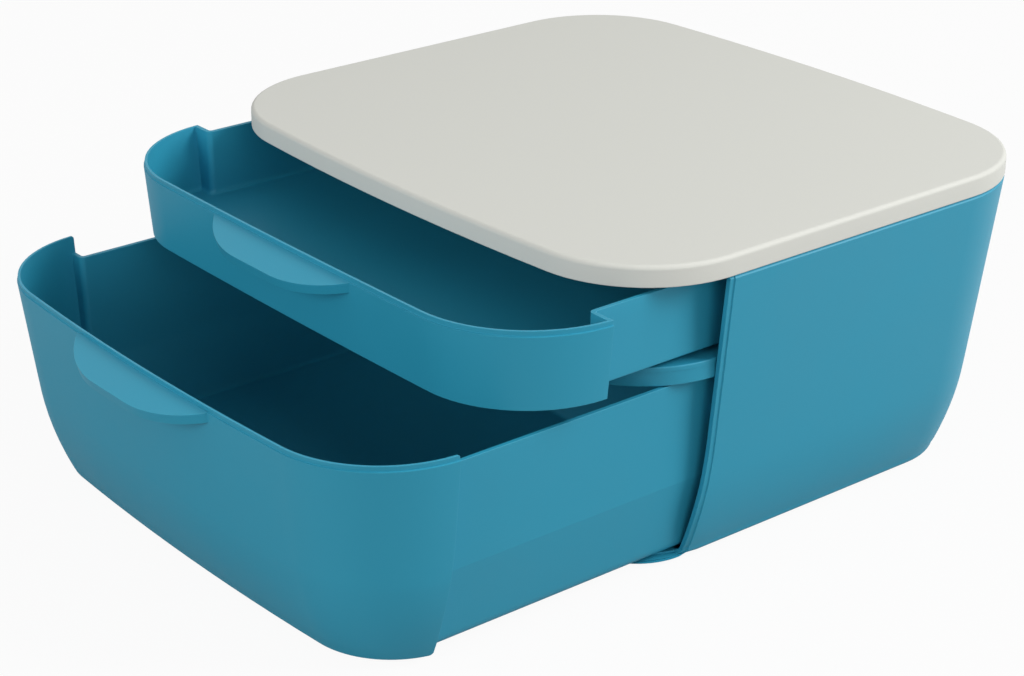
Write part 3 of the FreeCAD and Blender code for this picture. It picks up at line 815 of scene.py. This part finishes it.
LUGS = (Block(173.0, -72.0, 183.4, -58.0, 0.0, 4.0), Block(173.0, 58.0, 183.4, 72.0, 0.0, 4.0))
LEDGE = Block(164.3, -75.0, 178.2, 75.0, 50.2, 53.2)
STOPS = (Block(174.25, -81.0, 180.9, -76.0, 13.5, 29.5), Block(168.5, -81.0, 175.2, -76.0, 68.8, 84.8))


@dataclass
class Casing:
    """The casing: leaning sides, closed rear, a floor, and the lip that runs on under the fronts."""

    finish: MouldedPlastic
    wall: float = 3.5
    height: float = 166.2
    floor: float = 2.5
    base_round: float = 5.5
    inner_round: float = 3.0
    edge_round: float = 0.6
    straight_cuts: tuple[float, ...] = (0.0, 20.0, 60.0, 95.0, 104.0)
    cut_margin: float = 2.5
    seam: float = 0.7
    seam_depths: tuple[float, float] = (1.1, 1.7)
    side_cuts: tuple[float, float] = (0.0, -40.0)
    rebate_width: float = 2.8
    rebate_depth: float = 0.7
    ledge: float = 0.2
    ledge_margin: float = 9.2
    bend_round: float = 2.2
    lip_drop: float = 1.6
    lip_reach: float = 4.0
    lip_corner_shrink: float = 11.0
    lip_rim: float = 2.6
    lip_rim_drop: float = 0.5
    lip_overlap: float = 1.5
    lip_round: float = 0.25
    floor_clearance: float = 3.3
    body: str = "base"

    def end_at(self, depth: float) -> float:
        """Tell how far forwards the front edge lies, which bends into the lip at its foot.

        Args:
            depth: where the casing is cut.

        Returns:
            The distance from the middle.
        """
        bend = self.height - self.lip_drop
        turned = round_set(min(depth, bend), bend, self.bend_round)
        return SHAPE.casing_end + SHAPE.end_run(depth) + turned

    def side_stations(self, depth: float) -> list[tuple[float, float]]:
        """Give the places along the side's front part, with how far the rebate sets them in.

        Args:
            depth: where the casing is cut.

        Returns:
            Distances along, forwards positive, each with its set-in.
        """
        end = self.end_at(depth)
        step = end - self.rebate_width
        rebate = [(end, self.rebate_depth), (step, self.rebate_depth)]
        return rebate + [(step - behind, 0.0) for behind in (self.ledge, self.ledge_margin)]

    def off_the_ledge(self, place: Vector) -> bool:
        """Tell whether a place is clear of the ledge at the back of the rebate."""
        step = self.end_at(SHAPE.cover_underside - place.z) - self.rebate_width
        return not -self.ledge - CLOSE < -place.y - step < CLOSE

    def line(self, depth: float, set_in: float, rebated: bool) -> list[Vector]:
        """Give the spots along one side, round the rear and along the other side.

        Args:
            depth: where the casing is cut.
            set_in: how far inside the casing's outline the line lies.
            rebated: whether the front edges are set in by their rebate.

        Returns:
            The spots, from the left side's front to the right side's.
        """
        outline = BODY.at(depth).shrunk(set_in)
        half = outline.half(corner_steps=18) + [(outline.half_width, along) for along in self.side_cuts]
        for along, extra in reversed(self.side_stations(depth)):
            half.append((outline.side_at(along) - (extra if rebated else 0.0), -along))
        return mirrored_line(half, SHAPE.height(depth))

    def base_set(self, depth: float) -> float:
        """Tell how far the round at the base moves the outer wall in."""
        return round_set(depth, self.height, self.base_round, SHAPE.base_tilt)

    def build_shell(self, mould: Mould) -> None:
        """Sweep the wall's profile from the floor inside, over the rim and under the base.

        Args:
            mould: the mesh to build in.
        """
        floor, foot = self.height - self.floor, self.height - self.base_round
        walls = [*self.straight_cuts, *spread(SHAPE.tuck_start, foot - self.cut_margin, 7)]
        inner = (walls + foot_depths(floor, self.inner_round))[::-1]
        levels = [
            (depth, self.wall + round_set(depth, floor, self.inner_round, SHAPE.base_tilt), False)
            for depth in inner
        ]
        outer = walls + [foot] + foot_depths(self.height, self.base_round)
        outer += foot_depths(self.height - self.lip_drop, self.bend_round)
        recessed, full = self.seam_depths
        levels += [(0.0, self.seam, True), (recessed, self.seam, True), (full, 0.0, True)]
        levels += [(depth, self.base_set(depth), True) for depth in sorted(outer) if depth]
        sections = [self.line(*level) for level in levels]
        lines = mould.sweep(mould.path(sections[0], closed=False), sections[1:], closed=False)
        mould.cap(lines[0])
        mould.cap(lines[-1])
        lefts, rights = ([line[end] for line in lines] for end in (0, -1))
        for side in (lefts, rights):
            mould.strip(side[:len(inner)][::-1], side[len(inner):])
        mould.patch(lefts[0], rights[0], rights[-1], lefts[-1])

    def lip_line(self, depth: float, further: float = 0.0) -> list[Vector]:
        """Give the spots along the lip's edge, which reaches further forwards than the fronts.

        Args:
            depth: where the lip is cut.
            further: distance by which the line lies inside the edge.

        Returns:
            The spots, from left to right.
        """
        within = self.base_set(depth) + further
        casing = BODY.at(depth)
        reach, corner = casing.reach + self.lip_reach, casing.corner - self.lip_corner_shrink
        half = replace(casing, reach=reach, corner=corner).shrunk(within).half()
        cut = SHAPE.casing_end - self.lip_overlap
        half.append((casing.side_at(cut) - within - self.rebate_depth, cut))
        return mirrored_line(forwards(half), SHAPE.height(depth))

    def build_lip(self, mould: Mould) -> None:
        """Add the thin lip under the lower front and the raised floor inside that front.

        Args:
            mould: the mesh to build in.
        """
        top = self.height - self.lip_drop
        rim = top + self.lip_rim_drop
        sections = [self.lip_line(depth, self.lip_rim) for depth in (top, rim)]
        foot = foot_depths(self.height, self.height - rim)
        mould.solid(sections + [self.lip_line(depth) for depth in [rim, *foot]])
        inside = LOWER_FRONT.at(LowerDrawer.bottom).shrunk(self.floor_clearance)
        cut = SHAPE.casing_end - self.lip_overlap
        depths = (self.height - self.floor, top + OVERLAP)
        mould.solid([front_line(inside, cut, SHAPE.height(depth)) for depth in depths])

    def build_blocks(self, mould: Mould) -> None:
        """Add the lugs for the cover's screws, the shelf's ledges and the drawers' stop blocks.

        Args:
            mould: the mesh to add them to.
        """
        for block in (*LUGS, LEDGE, *STOPS):
            low = Vector((block.inner, block.front, SHAPE.height(block.base)))
            high = Vector((block.outer, block.rear, SHAPE.height(block.top)))
            mould.twin_blocks(low, high)

    def build(self) -> Object:
        """Model the whole casing.

        Returns:
            The finished piece.
        """
        mould = Mould("casing_shell")
        self.build_shell(mould)
        mould.merge()
        mould.soften(mould.sharp_edges(self.off_the_ledge), self.edge_round, segments=3)
        lip = Mould("lip")
        self.build_lip(lip)
        lip.merge()
        lip.soften(lip.sharp_edges(), self.lip_round)
        mould.take(lip)
        self.build_blocks(mould)
        return mould.finish(self.finish.material(), self.body, "casing", "casing")


# ---------------------------------------------------------------- divider shelf


@dataclass
class Shelf:
    """The divider between the drawers: a plate with an apron round its front and two guides."""

    finish: MouldedPlastic
    drop: float = 47.2
    thickness: float = 3.0
    apron: float = 10.6
    apron_wall: float = 2.5
    apron_end: float = 84.0
    front_clearance: float = 2.8
    rear_clearance: float = 4.0
    plate_round: float = 0.8
    apron_round: float = 0.7
    guide: tuple[float, float, float] = (169.1, 171.1, 75.0)
    guide_height: float = 6.0
    body: str = "base"

    def front(self) -> Outline:
        """Give the outline of the shelf's front, just inside the lower front's wall."""
        return LOWER_FRONT.at(self.drop + self.apron).shrunk(self.front_clearance)

    def build(self) -> Object:
        """Model the plate, then the apron below it and the guides on it.

        Returns:
            The finished piece.
        """
        mould = Mould("divider_shelf_plate")
        front = self.front()
        rear = BODY.at(self.drop + self.apron).shrunk(self.rear_clearance)
        rear = replace(rear, half_width=front.half_width)
        top, under = SHAPE.height(self.drop), SHAPE.height(self.drop + self.thickness)
        mould.solid([closed_ring(front, rear, height) for height in (top, under)])
        mould.merge()
        middle = (top + under) / 2
        mould.soften(mould.sharp_edges(lambda place: place.z > middle), self.plate_round, segments=3)
        self.build_apron(mould, under)
        inner, outer, half = self.guide
        low, high = top - OVERLAP, top + self.guide_height
        mould.twin_blocks(Vector((inner, -half, low)), Vector((outer, half, high)))
        return mould.finish(self.finish.material(), self.body, "divider_shelf", "divider_shelf")

    def build_apron(self, mould: Mould, under: float) -> None:
        """Hang the apron below the plate along the front and round both corners.

        Args:
            mould: the mesh to add it to.
            under: height of the plate's underside.
        """
        foot = SHAPE.height(self.drop + self.apron)
        cut = self.apron_end
        outer, inner = self.front(), self.front().shrunk(self.apron_wall)
        sections = [
            front_line(outer, cut, height) + front_line(inner, cut, height)[::-1]
            for height in (under + OVERLAP, foot)
        ]
        mould.solid(sections)
        mould.merge()
        middle = (under + foot) / 2
        mould.soften(mould.sharp_edges(lambda place: place.z < middle), self.apron_round, segments=3)


# ---------------------------------------------------------------- drawers


class Skin(Enum):
    """Which side of a drawer's wall a ring of spots follows."""

    OUTER = "outer"
    INNER = "inner"


@dataclass
class Drawer:
    """A drawer: a tray whose front wraps round both corners and carries a half-moon pull."""

    # which of a ring's spots is the front's right-hand end
    front_end_spot: ClassVar[int] = 25

    finish: MouldedPlastic
    front: Leaning = UPPER_FRONT
    name: str = "upper_drawer"
    body: str = "upper_drawer_body"
    open_by: float = 74.4
    rim: float = 3.5
    side_top: float = 3.5
    bottom: float = 46.0
    lift: float = 2.2
    tray_half: float = 169.24
    draft: float = 0.01
    front_wall: float = 2.3
    tray_wall: float = 2.5
    floor: float = 2.5
    front_end: float = 89.5
    rebate_height: float = 2.7
    rebate_depth: float = 0.9
    ledge: float = 0.25
    edge_round: float = 0.5
    end_round: float = 1.5
    foot_round: float = 3.0
    step_rounds: tuple[float, float] = (1.3, 3.2)
    step_shares: tuple[float, float] = (0.4, 0.6)
    least_step_round: float = 0.05
    step_cuts: tuple[float, float] = (0.3, 0.6)
    side_cuts: tuple[float, float] = (-45.0, 10.0)
    inner_round: float = 3.0
    inner_tilt: float = 0.1
    inner_margin: float = 1.0
    outer_round: float = 1.0
    outer_tilt: float = 0.0
    outer_margins: tuple[float, float] = (4.0, 2.0)
    foot_steps: int = 3
    pull_drop: float = 2.9
    pull_reach: float = 18.8
    pull_flat: float = 15.0
    pull_half: float = 61.0
    pull_thickness: float = 5.8
    pull_slope: float = math.radians(16.7)
    pull_round: float = 1.5
    pull_root: float = 1.6

    def tray_at(self, depth: float) -> Outline:
        """Give the outline of the tray's outer face, closed, with this tray's own width."""
        return replace(TRAY_REAR.at(depth), half_width=self.half_at(depth))

    def half_at(self, depth: float) -> float:
        """Give half the tray's width."""
        return self.tray_half - self.draft * (depth - self.side_top)

    def end_at(self, depth: float) -> float:
        """Tell how far forwards the front's free ends lie, closed."""
        return self.front_end + SHAPE.end_run(depth)

    @property
    def underside(self) -> float:
        """Depth of the tray's underside."""
        return self.bottom - self.lift

    @property
    def floor_top(self) -> float:
        """Depth of the floor's upper face."""
        return self.underside - self.floor

    def ring(
        self, depth: float, skin: Skin, front_set: float = 0.0, tray_set: float = 0.0
    ) -> list[Vector]:
        """Give the spots round the drawer at a depth.

        Args:
            depth: where the drawer is cut.
            skin: the wall's outer or inner face.
            front_set: further distance by which the front is moved in.
            tray_set: further distance by which the tray is moved in.

        Returns:
            The spots, from the middle of the front to the right and round.
        """
        inner = skin is Skin.INNER
        front = self.front.at(depth).shrunk(front_set + (self.front_wall if inner else 0.0))
        tray = self.tray_at(depth).shrunk(tray_set + (self.tray_wall if inner else 0.0))
        shoulder = self.end_at(depth) + self.tray_wall + (tray_set if inner else 0.0)
        half = front.half(6, 18, shoulder)[:-1] + [(front.side_at(shoulder), shoulder)]
        half += self.shoulder_spots(front, tray, shoulder if inner else self.end_at(depth), inner)
        half = forwards(half) + [(tray.half_width, along) for along in self.side_cuts]
        half += tray.half(corner_steps=14)[::-1]
        return mirrored([(across, along - self.open_by) for across, along in half], SHAPE.height(depth))

    def shoulder_spots(self, front: Outline, tray: Outline, end: float, inner: bool) -> list[Spot]:
        """Give the spots of the step from the front's end in to the tray's side, forwards positive.

        Args:
            front: the front's outline.
            tray: the tray's outline.
            end: distance along of the front's end.
            inner: whether the step is on the wall's inner face.

        Returns:
            The spots, from the front to the tray.
        """
        start, target = front.side_at(end), tray.half_width
        if inner:
            radius = min(self.step_rounds[1], self.step_shares[1] * (start - target))
            flat = start - target - radius
            spots = [(start - flat * share, end) for share in self.step_cuts]
        else:
            within = start - self.front_wall
            spots = [(start, end), (within, end)]
            radius = min(self.step_rounds[0], self.step_shares[0] * (within - target))
            radius = max(radius, self.least_step_round)
        centre = (target + radius, end - radius)
        for share in spread(0, 1, 4):
            angle = math.pi / 2 * (1 + share)
            spots.append((centre[0] + radius * math.cos(angle), centre[1] + radius * math.sin(angle)))
        return spots

    def rim_levels(self) -> list[Level]:
        """Give the outer wall's levels from its top to the ledge: depth, front set-in, tray set-in.

        Returns:
            The levels.
        """
        rebate = self.rim + self.rebate_height
        recessed = [(depth, self.rebate_depth, 0.0) for depth in (self.side_top, rebate)]
        return [*recessed, (rebate + self.ledge, 0.0, 0.0)]

    def outer_cuts(self, foot: float) -> list[float]:
        """Give the depths at which the outer wall is cut above the round at its foot."""
        above, below = self.outer_margins
        return spread(self.rim + self.rebate_height + self.ledge + above, foot - below, 3)

    def inner_cuts(self, foot: float) -> list[float]:
        """Give the depths at which the inner wall is cut above the round at its foot."""
        return spread(self.side_top, foot - self.inner_margin, 3)[1:]

    def outer_levels(self) -> list[Level]:
        """Give all the outer wall's levels: depth, front set-in and tray set-in.

        Returns:
            The levels, downwards.
        """
        base, radius = self.underside, self.outer_round
        foot = base - radius
        levels = self.rim_levels() + [(depth, 0.0, 0.0) for depth in [*self.outer_cuts(foot), foot]]
        for depth in foot_depths(base, radius, self.foot_steps):
            levels.append((depth, 0.0, round_set(depth, base, radius, self.outer_tilt)))
        return levels

    def inner_depths(self) -> list[float]:
        """Give all the inner wall's depths down to the floor."""
        foot = self.floor_top - self.inner_round
        return [*self.inner_cuts(foot), foot, *foot_depths(self.floor_top, self.inner_round)]

    def build_tub(self, mould: Mould) -> None:
        """Sweep the wall from its rim down both faces, and close the floor and the underside.

        Args:
            mould: the mesh to build in.
        """
        sets = (0.0, self.outer_round)
        outside = [self.ring(depth, Skin.OUTER, *outset) for depth, *outset in self.outer_levels()]
        outside.append(self.ring(self.underside, Skin.INNER, *sets))
        outer = mould.sweep(mould.path(outside[0], closed=True), outside[1:])
        inside = [self.ring(self.side_top, Skin.INNER)]
        for depth in self.inner_depths():
            extra = round_set(depth, self.floor_top, self.inner_round, self.inner_tilt)
            inside.append(self.ring(depth, Skin.INNER, extra, extra))
        inner = mould.sweep(outer[0], inside)
        mould.cap(inner[-1])
        mould.cap(outer[-1])
        skirt = [(self.bottom, Skin.OUTER)]
        skirt += [(depth, Skin.INNER, *sets) for depth in (self.bottom, self.underside)]
        self.add_band(mould, outer[-2], outer[-1], skirt)
        if self.side_top > self.rim:
            self.add_band(mould, outer[0], inner[1], self.raised_rim())

    def raised_rim(self) -> list[tuple]:
        """Give the levels of the front's rim where it stands higher than the tray's sides.

        Returns:
            Depth, face and set-ins of each level.
        """
        rebate = self.rim + self.rebate_height
        return [
            (rebate + self.ledge, Skin.OUTER),
            (rebate, Skin.OUTER, self.rebate_depth),
            (self.rim, Skin.OUTER, self.rebate_depth),
            (self.rim, Skin.INNER),
            (self.side_top, Skin.INNER),
        ]

    def band_line(self, order: list[int], depth: float, skin: Skin, *sets: float) -> list[Vector]:
        """Give a band's spots at one level.

        Args:
            order: which of a ring's spots are the front's, from left to right.
            depth: where the band is cut.
            skin: the face that it follows; on the inner one it still ends on the outer.
            sets: further set-ins of the front and the tray.

        Returns:
            The spots, from left to right.
        """
        outer = self.ring(depth, Skin.OUTER, *sets)
        if skin is Skin.OUTER:
            return [outer[index] for index in order]
        inner = self.ring(depth, Skin.INNER, *sets)
        between = [inner[index] for index in order[1:-1]]
        return [outer[order[0] - 1], *between, outer[order[-1] + 1]]

    def add_band(
        self, mould: Mould, outer: list[BMVert], inner: list[BMVert], levels: list[tuple]
    ) -> None:
        """Carry the front's wall on above or below the rest of the drawer.

        Args:
            mould: the mesh.
            outer: ring on the wall's outer face, where the tray's wall ends.
            inner: ring on its inner face at the same depth.
            levels: depth, face and set-ins of each level of the band, out and back.
        """
        last, count = self.front_end_spot, len(outer)
        order = [*range(count - last, count), *range(last + 1)]
        line = [outer[index] for index in order]
        mould.drop_faces(line, [inner[index] for index in order])
        for side in (1, -1):
            end, within = side * last, side * (last + 1)
            mould.drop_faces([outer[end], outer[within]], [inner[end], inner[within]])
            mould.patch(inner[end - side], inner[end], inner[within], outer[within])
        lines = mould.sweep(line, [self.band_line(order, *level) for level in levels], closed=False)
        for end in (0, -1):
            mould.cap([line[end] for line in lines])

    def at_free_end(self, depth: float) -> Callable[[Vector], bool]:
        """Give the test for places on the front's free ends, at a depth."""
        along, height = -self.end_at(depth) - self.open_by, SHAPE.height(depth)
        return lambda place: abs(place.y - along) < CLOSE and abs(place.z - height) < CLOSE

    def along_ledge(self, edge: BMEdge) -> bool:
        """Tell whether an edge runs along the ledge below the rim.

        Args:
            edge: the edge.

        Returns:
            Whether it does.
        """
        first, second = (vert.co.z for vert in edge.verts)
        below = SHAPE.height(self.rim + self.rebate_height) - first
        return abs(first - second) < CLOSE and -CLOSE < below < self.ledge + CLOSE

    def build_pull(self, mould: Mould) -> None:
        """Add the half-moon pull: a slab that leaves the front below the rim and slopes down.

        Args:
            mould: the mesh to add it to.
        """
        reach, flat, side = self.pull_reach, self.pull_flat, self.pull_half - self.pull_flat
        radius = (side * side + reach * reach) / (reach * 2)
        start = math.asin((radius - reach) / radius)
        half = [(0.0, reach), (flat / 2, reach)]
        half += [
            (flat + radius * math.cos(angle), reach - radius + radius * math.sin(angle))
            for angle in spread(math.pi / 2, start, 12)
        ]
        half.append((flat + side, -self.pull_root))
        slab = Mould("pull")
        slab.solid([mirrored_line(forwards(half), height) for height in (0.0, -self.pull_thickness)])
        slab.merge()
        rim = slab.sharp_edges(lambda place: place.y < 0.0 or place.z < 0.0)
        slab.soften(rim, self.pull_round, segments=4)
        slab.merge()
        depth = self.rim + self.pull_drop
        turn = Matrix.Rotation(self.pull_slope, 4, "X")
        along = -self.front.at(depth).reach - self.open_by
        place = Matrix.Translation((0.0, along, SHAPE.height(depth)))
        bmesh.ops.transform(slab.bm, matrix=place @ turn, verts=slab.bm.verts)
        mould.take(slab)

    def build(self) -> Object:
        """Model the whole drawer.

        Returns:
            The finished piece.
        """
        mould = Mould(f"{self.name}_tub")
        self.build_tub(mould)
        mould.merge()
        if self.side_top > self.rim:
            for depth, radius in ((self.rim, self.end_round), (self.bottom, self.foot_round)):
                mould.soften(mould.sharp_edges(self.at_free_end(depth)), radius, segments=5)
        edges = [edge for edge in mould.sharp_edges() if not self.along_ledge(edge)]
        mould.soften(edges, self.edge_round, segments=3)
        mould.merge()
        self.build_pull(mould)
        return mould.finish(self.finish.material(), self.body, self.name, self.name)


@dataclass
class LowerDrawer(Drawer):
    """The deep drawer, whose sides are lower than its front and fold inwards at a crease."""

    front: Leaning = LOWER_FRONT
    name: str = "lower_drawer"
    body: str = "lower_drawer_body"
    open_by: float = 163.1
    rim: float = 48.8
    side_top: float = 58.4
    bottom: float = 164.2
    lift: float = 2.0
    tray_half: float = 167.826
    draft: float = 0.067
    crease: float = 118.0
    fold: float = 0.187
    fold_round: float = 0.4
    rim_margin: float = 2.0
    inner_tilt: float = math.radians(18.0)
    inner_margin: float = 2.0
    inner_crease_cuts: tuple[float, ...] = (-12.0, 0.0, 3.0)
    inner_crease_margin: float = 8.0
    outer_round: float = 6.0
    outer_tilt: float = math.radians(18.0)
    outer_margins: tuple[float, float] = (5.0, 3.0)
    outer_crease_cuts: tuple[float, ...] = (-22.0, -11.0)
    foot_steps: int = 4

    def half_at(self, depth: float) -> float:
        """Give half the tray's width, narrowing faster below the crease."""
        below = max(depth - self.crease, 0.0)
        return super().half_at(min(depth, self.crease)) - below * self.fold

    def rim_levels(self) -> list[Level]:
        """Give the outer wall's levels at its top, below which it has no rebate."""
        return [(self.side_top, 0.0, 0.0), (self.side_top + self.rim_margin, 0.0, 0.0)]

    def outer_cuts(self, foot: float) -> list[float]:
        """Give the depths at which the outer wall is cut above its foot's round, closer at the crease.

        Args:
            foot: depth at which that round starts.

        Returns:
            The depths, downwards.
        """
        above, below = self.outer_margins
        cuts = [self.crease + past for past in (*self.outer_crease_cuts, -self.fold_round)]
        cuts += spread(self.crease, self.crease + self.fold_round, 2)
        return cuts + spread(self.crease + above, foot - below, 4)

    def inner_cuts(self, foot: float) -> list[float]:
        """Give the depths at which the inner wall is cut above its foot's round, closer at the crease.

        Args:
            foot: depth at which that round starts.

        Returns:
            The depths, downwards.
        """
        cuts = [self.crease + past for past in self.inner_crease_cuts]
        low = spread(self.crease + self.inner_crease_margin, foot - self.inner_margin, 4)
        return [self.side_top + self.rim_margin, *cuts, *low]


# ---------------------------------------------------------------- feet and small parts


@dataclass
class Feet:
    """The four rubber feet, turned buttons let into the casing's underside."""

    finish: MouldedPlastic
    nodes: list[str]
    dish: float = 3.0
    dish_depth: float = 0.5
    edge_round: float = 0.8
    body: str = "base"

    def build(self) -> None:
        """Turn one button for each foot of the frame."""
        for node in self.nodes:
            if node.startswith("foot_"):
                self.build_button(node)

    def build_button(self, node: str) -> Object:
        """Make a foot from a round column: a soft lower edge and a shallow dish underneath.

        Args:
            node: the foot's name in the frame.

        Returns:
            The finished piece.
        """
        low, high = (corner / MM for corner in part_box(node))
        radius, height = (high.x - low.x) / 2, high.z - low.z
        mould = Mould(f"{node}_button")
        bmesh.ops.create_cone(
            mould.bm, cap_ends=True, segments=48, radius1=radius, radius2=radius, depth=height
        )
        bmesh.ops.translate(mould.bm, vec=(low + high) / 2, verts=mould.bm.verts)
        rim = mould.sharp_edges(lambda place: place.z < low.z + CLOSE)
        mould.soften(rim, self.edge_round, segments=4)
        under = [face for face in mould.bm.faces if face.calc_center_median().z < low.z + CLOSE]
        bmesh.ops.inset_region(mould.bm, faces=under, thickness=radius - self.edge_round - self.dish)
        bmesh.ops.inset_region(mould.bm, faces=under, thickness=self.dish_depth)
        for vert in under[0].verts:
            vert.co.z += self.dish_depth
        return mould.finish(self.finish.material(), self.body, "foot", node)


@dataclass
class SmallParts:
    """Glide strips, stop catches and screws, whose solids already have the right shape."""

    glide: MouldedPlastic
    catch: MouldedPlastic
    screw: PlatedSteel

    def dress(self, nodes: dict[str, Object]) -> None:
        """Give each small solid its finish.

        Args:
            nodes: the frame's solids by name.
        """
        screws = self.screw.material()
        for name, piece in nodes.items():
            if "glide" in name:
                material = self.glide.material()
            elif "catch" in name:
                material = self.catch.material()
            elif "screws" in name:
                material = screws
            else:
                continue
            piece.data.materials.clear()
            piece.data.materials.append(material)
            LOG.info("%s: dressed in %s", name, material.name)


# ---------------------------------------------------------------- studio


@dataclass(frozen=True)
class Lamp:
    """A square soft light."""

    name: str
    place: Place
    target: Place
    power: float
    width: float = 1.2

    def add(self) -> None:
        """Hang the lamp and point it at its target."""
        data = bpy.data.lights.new(self.name, "AREA")
        data.energy = self.power
        data.size = self.width
        lamp = bpy.data.objects.new(self.name, data)
        lamp.location = self.place
        aim = Vector(self.target) - Vector(self.place)
        lamp.rotation_euler = aim.to_track_quat("-Z", "Y").to_euler()
        bpy.context.scene.collection.objects.link(lamp)


@dataclass
class Studio:
    """A white floor, an even white surround, soft lamps and the camera."""

    world_strength: float = 0.42
    floor_size: float = 12.0
    floor_colour: Colour = (0.2, 0.2, 0.2)
    floor_reflected: Colour = (0.85, 0.85, 0.85)
    floor_whiteness: float = 0.84
    floor_glow: float = 1.12
    floor_roughness: float = 0.9
    floor_specular: float = 0.1
    lens: float = 86.73
    sensor_width: float = 36.0
    near: float = 0.01
    camera_place: Place = (0.9842, -0.8779, 0.6292)
    azimuth: float = 50.88
    elevation: float = 23.84
    roll: float = 0.09
    lamps: tuple[Lamp, ...] = (
        Lamp("key", (1.6, 1.4, 1.6), (0.05, -0.05, 0.08), 52.0),
        Lamp("front", (0.3, -2.4, 0.9), (0.0, -0.1, 0.08), 23.5),
        Lamp("right", (2.2, -0.6, 0.9), (0.0, 0.0, 0.08), 8.0),
    )

    def add_world(self) -> None:
        """Light the scene evenly, and show white behind it to the camera and in reflections."""
        world = bpy.data.worlds.new("surround")
        world.use_nodes = True
        bpy.context.scene.world = world
        graph = Graph(world.node_tree)
        seen = self.seen_directly(graph, "Is Glossy Ray", "Is Transmission Ray")
        strength = graph.add("ShaderNodeMapRange", {"Value": seen, "To Min": self.world_strength})
        sockets = {"Color": (1.0, 1.0, 1.0, 1.0), "Strength": strength.outputs["Result"]}
        graph.feed(world.node_tree.nodes["Background"], sockets)

    @staticmethod
    def seen_directly(graph: Graph, *others: str) -> NodeSocket:
        """Give a value that is 1 for the camera's rays and for the other kinds of ray named.

        Args:
            graph: the graph to add to.
            others: names of the other kinds.

        Returns:
            The output that gives the value.
        """
        rays = graph.add("ShaderNodeLightPath").outputs
        seen = rays["Is Camera Ray"]
        for ray in others:
            either = graph.add("ShaderNodeMath", {0: seen, 1: rays[ray]}, operation="MAXIMUM")
            seen = either.outputs["Value"]
        return seen

    def add_floor(self) -> None:
        """Lay a white floor that keeps the object's soft shadow."""
        bm = bmesh.new()
        bmesh.ops.create_grid(bm, x_segments=1, y_segments=1, size=self.floor_size / 2)
        mesh = bpy.data.meshes.new("floor")
        bm.to_mesh(mesh)
        bm.free()
        floor = bpy.data.objects.new("floor", mesh)
        bpy.context.scene.collection.objects.link(floor)
        material, graph, shader = new_material("white_floor")
        glossy = graph.add("ShaderNodeLightPath").outputs["Is Glossy Ray"]
        sockets = {
            "Base Color": graph.mix(glossy, self.floor_colour, self.floor_reflected),
            "Roughness": self.floor_roughness,
            "Specular IOR Level": self.floor_specular,
        }
        graph.feed(shader, sockets)
        white = graph.add("ShaderNodeEmission", {"Strength": self.floor_glow})
        seen = self.seen_directly(graph, "Is Transmission Ray")
        share = graph.add("ShaderNodeMath", {0: seen, 1: self.floor_whiteness}, operation="MULTIPLY")
        sockets = {0: share.outputs["Value"], 1: shader.outputs["BSDF"], 2: white.outputs["Emission"]}
        mixed = graph.add("ShaderNodeMixShader", sockets)
        output = material.node_tree.nodes["Material Output"]
        graph.feed(output, {"Surface": mixed.outputs["Shader"]})
        mesh.materials.append(material)

    def add_camera(self) -> None:
        """Set up the camera."""
        data = bpy.data.cameras.new("camera")
        data.lens = self.lens
        data.sensor_width = self.sensor_width
        data.clip_start = self.near
        camera = bpy.data.objects.new("camera", data)
        camera.location = self.camera_place
        turn = Matrix.Rotation(math.radians(self.azimuth), 4, "Z")
        tip = Matrix.Rotation(math.radians(90.0 - self.elevation), 4, "X")
        lean = Matrix.Rotation(math.radians(self.roll), 4, "Z")
        camera.rotation_euler = (turn @ tip @ lean).to_euler()
        bpy.context.scene.collection.objects.link(camera)
        bpy.context.scene.camera = camera

    def build(self) -> None:
        """Set up the whole studio."""
        bpy.context.scene.view_settings.view_transform = "Standard"
        self.add_world()
        self.add_floor()
        self.add_camera()
        for lamp in self.lamps:
            lamp.add()


# ---------------------------------------------------------------- the whole object


TEAL = MouldedPlastic(
    "teal_plastic", (0.02, 0.28, 0.418), (0.032, 0.314, 0.454), roughness=0.5, specular=0.42
)
WARM_WHITE = MouldedPlastic(
    "warm_white_plastic",
    (0.64, 0.645, 0.6),
    # darker edge colour: painted shade along the cover's rounded edges, which tones down their
    # highlight
    (0.5, 0.505, 0.47),
    roughness=0.6,
    specular=0.2,
    clouding=0.015,
)
GLIDE_WHITE = MouldedPlastic(
    "slippery_white_plastic", (0.72, 0.72, 0.70), (0.80, 0.80, 0.78), roughness=0.28
)
FOOT_RUBBER = MouldedPlastic(
    "black_rubber", (0.02, 0.02, 0.022), (0.05, 0.05, 0.05), roughness=0.75, grain_scale=900.0
)


def main() -> None:
    """Build the scene."""
    logging.basicConfig(level=logging.INFO, format="%(name)s %(message)s")
    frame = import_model()
    Studio().build()
    nodes = frame["nodes"]
    for part in (Cover(WARM_WHITE), Casing(TEAL), Shelf(TEAL), Drawer(TEAL), LowerDrawer(TEAL)):
        part.build()
    Feet(FOOT_RUBBER, sorted(nodes)).build()
    SmallParts(GLIDE_WHITE, TEAL, PlatedSteel()).dress(nodes)


if __name__ == "__main__":
    main()
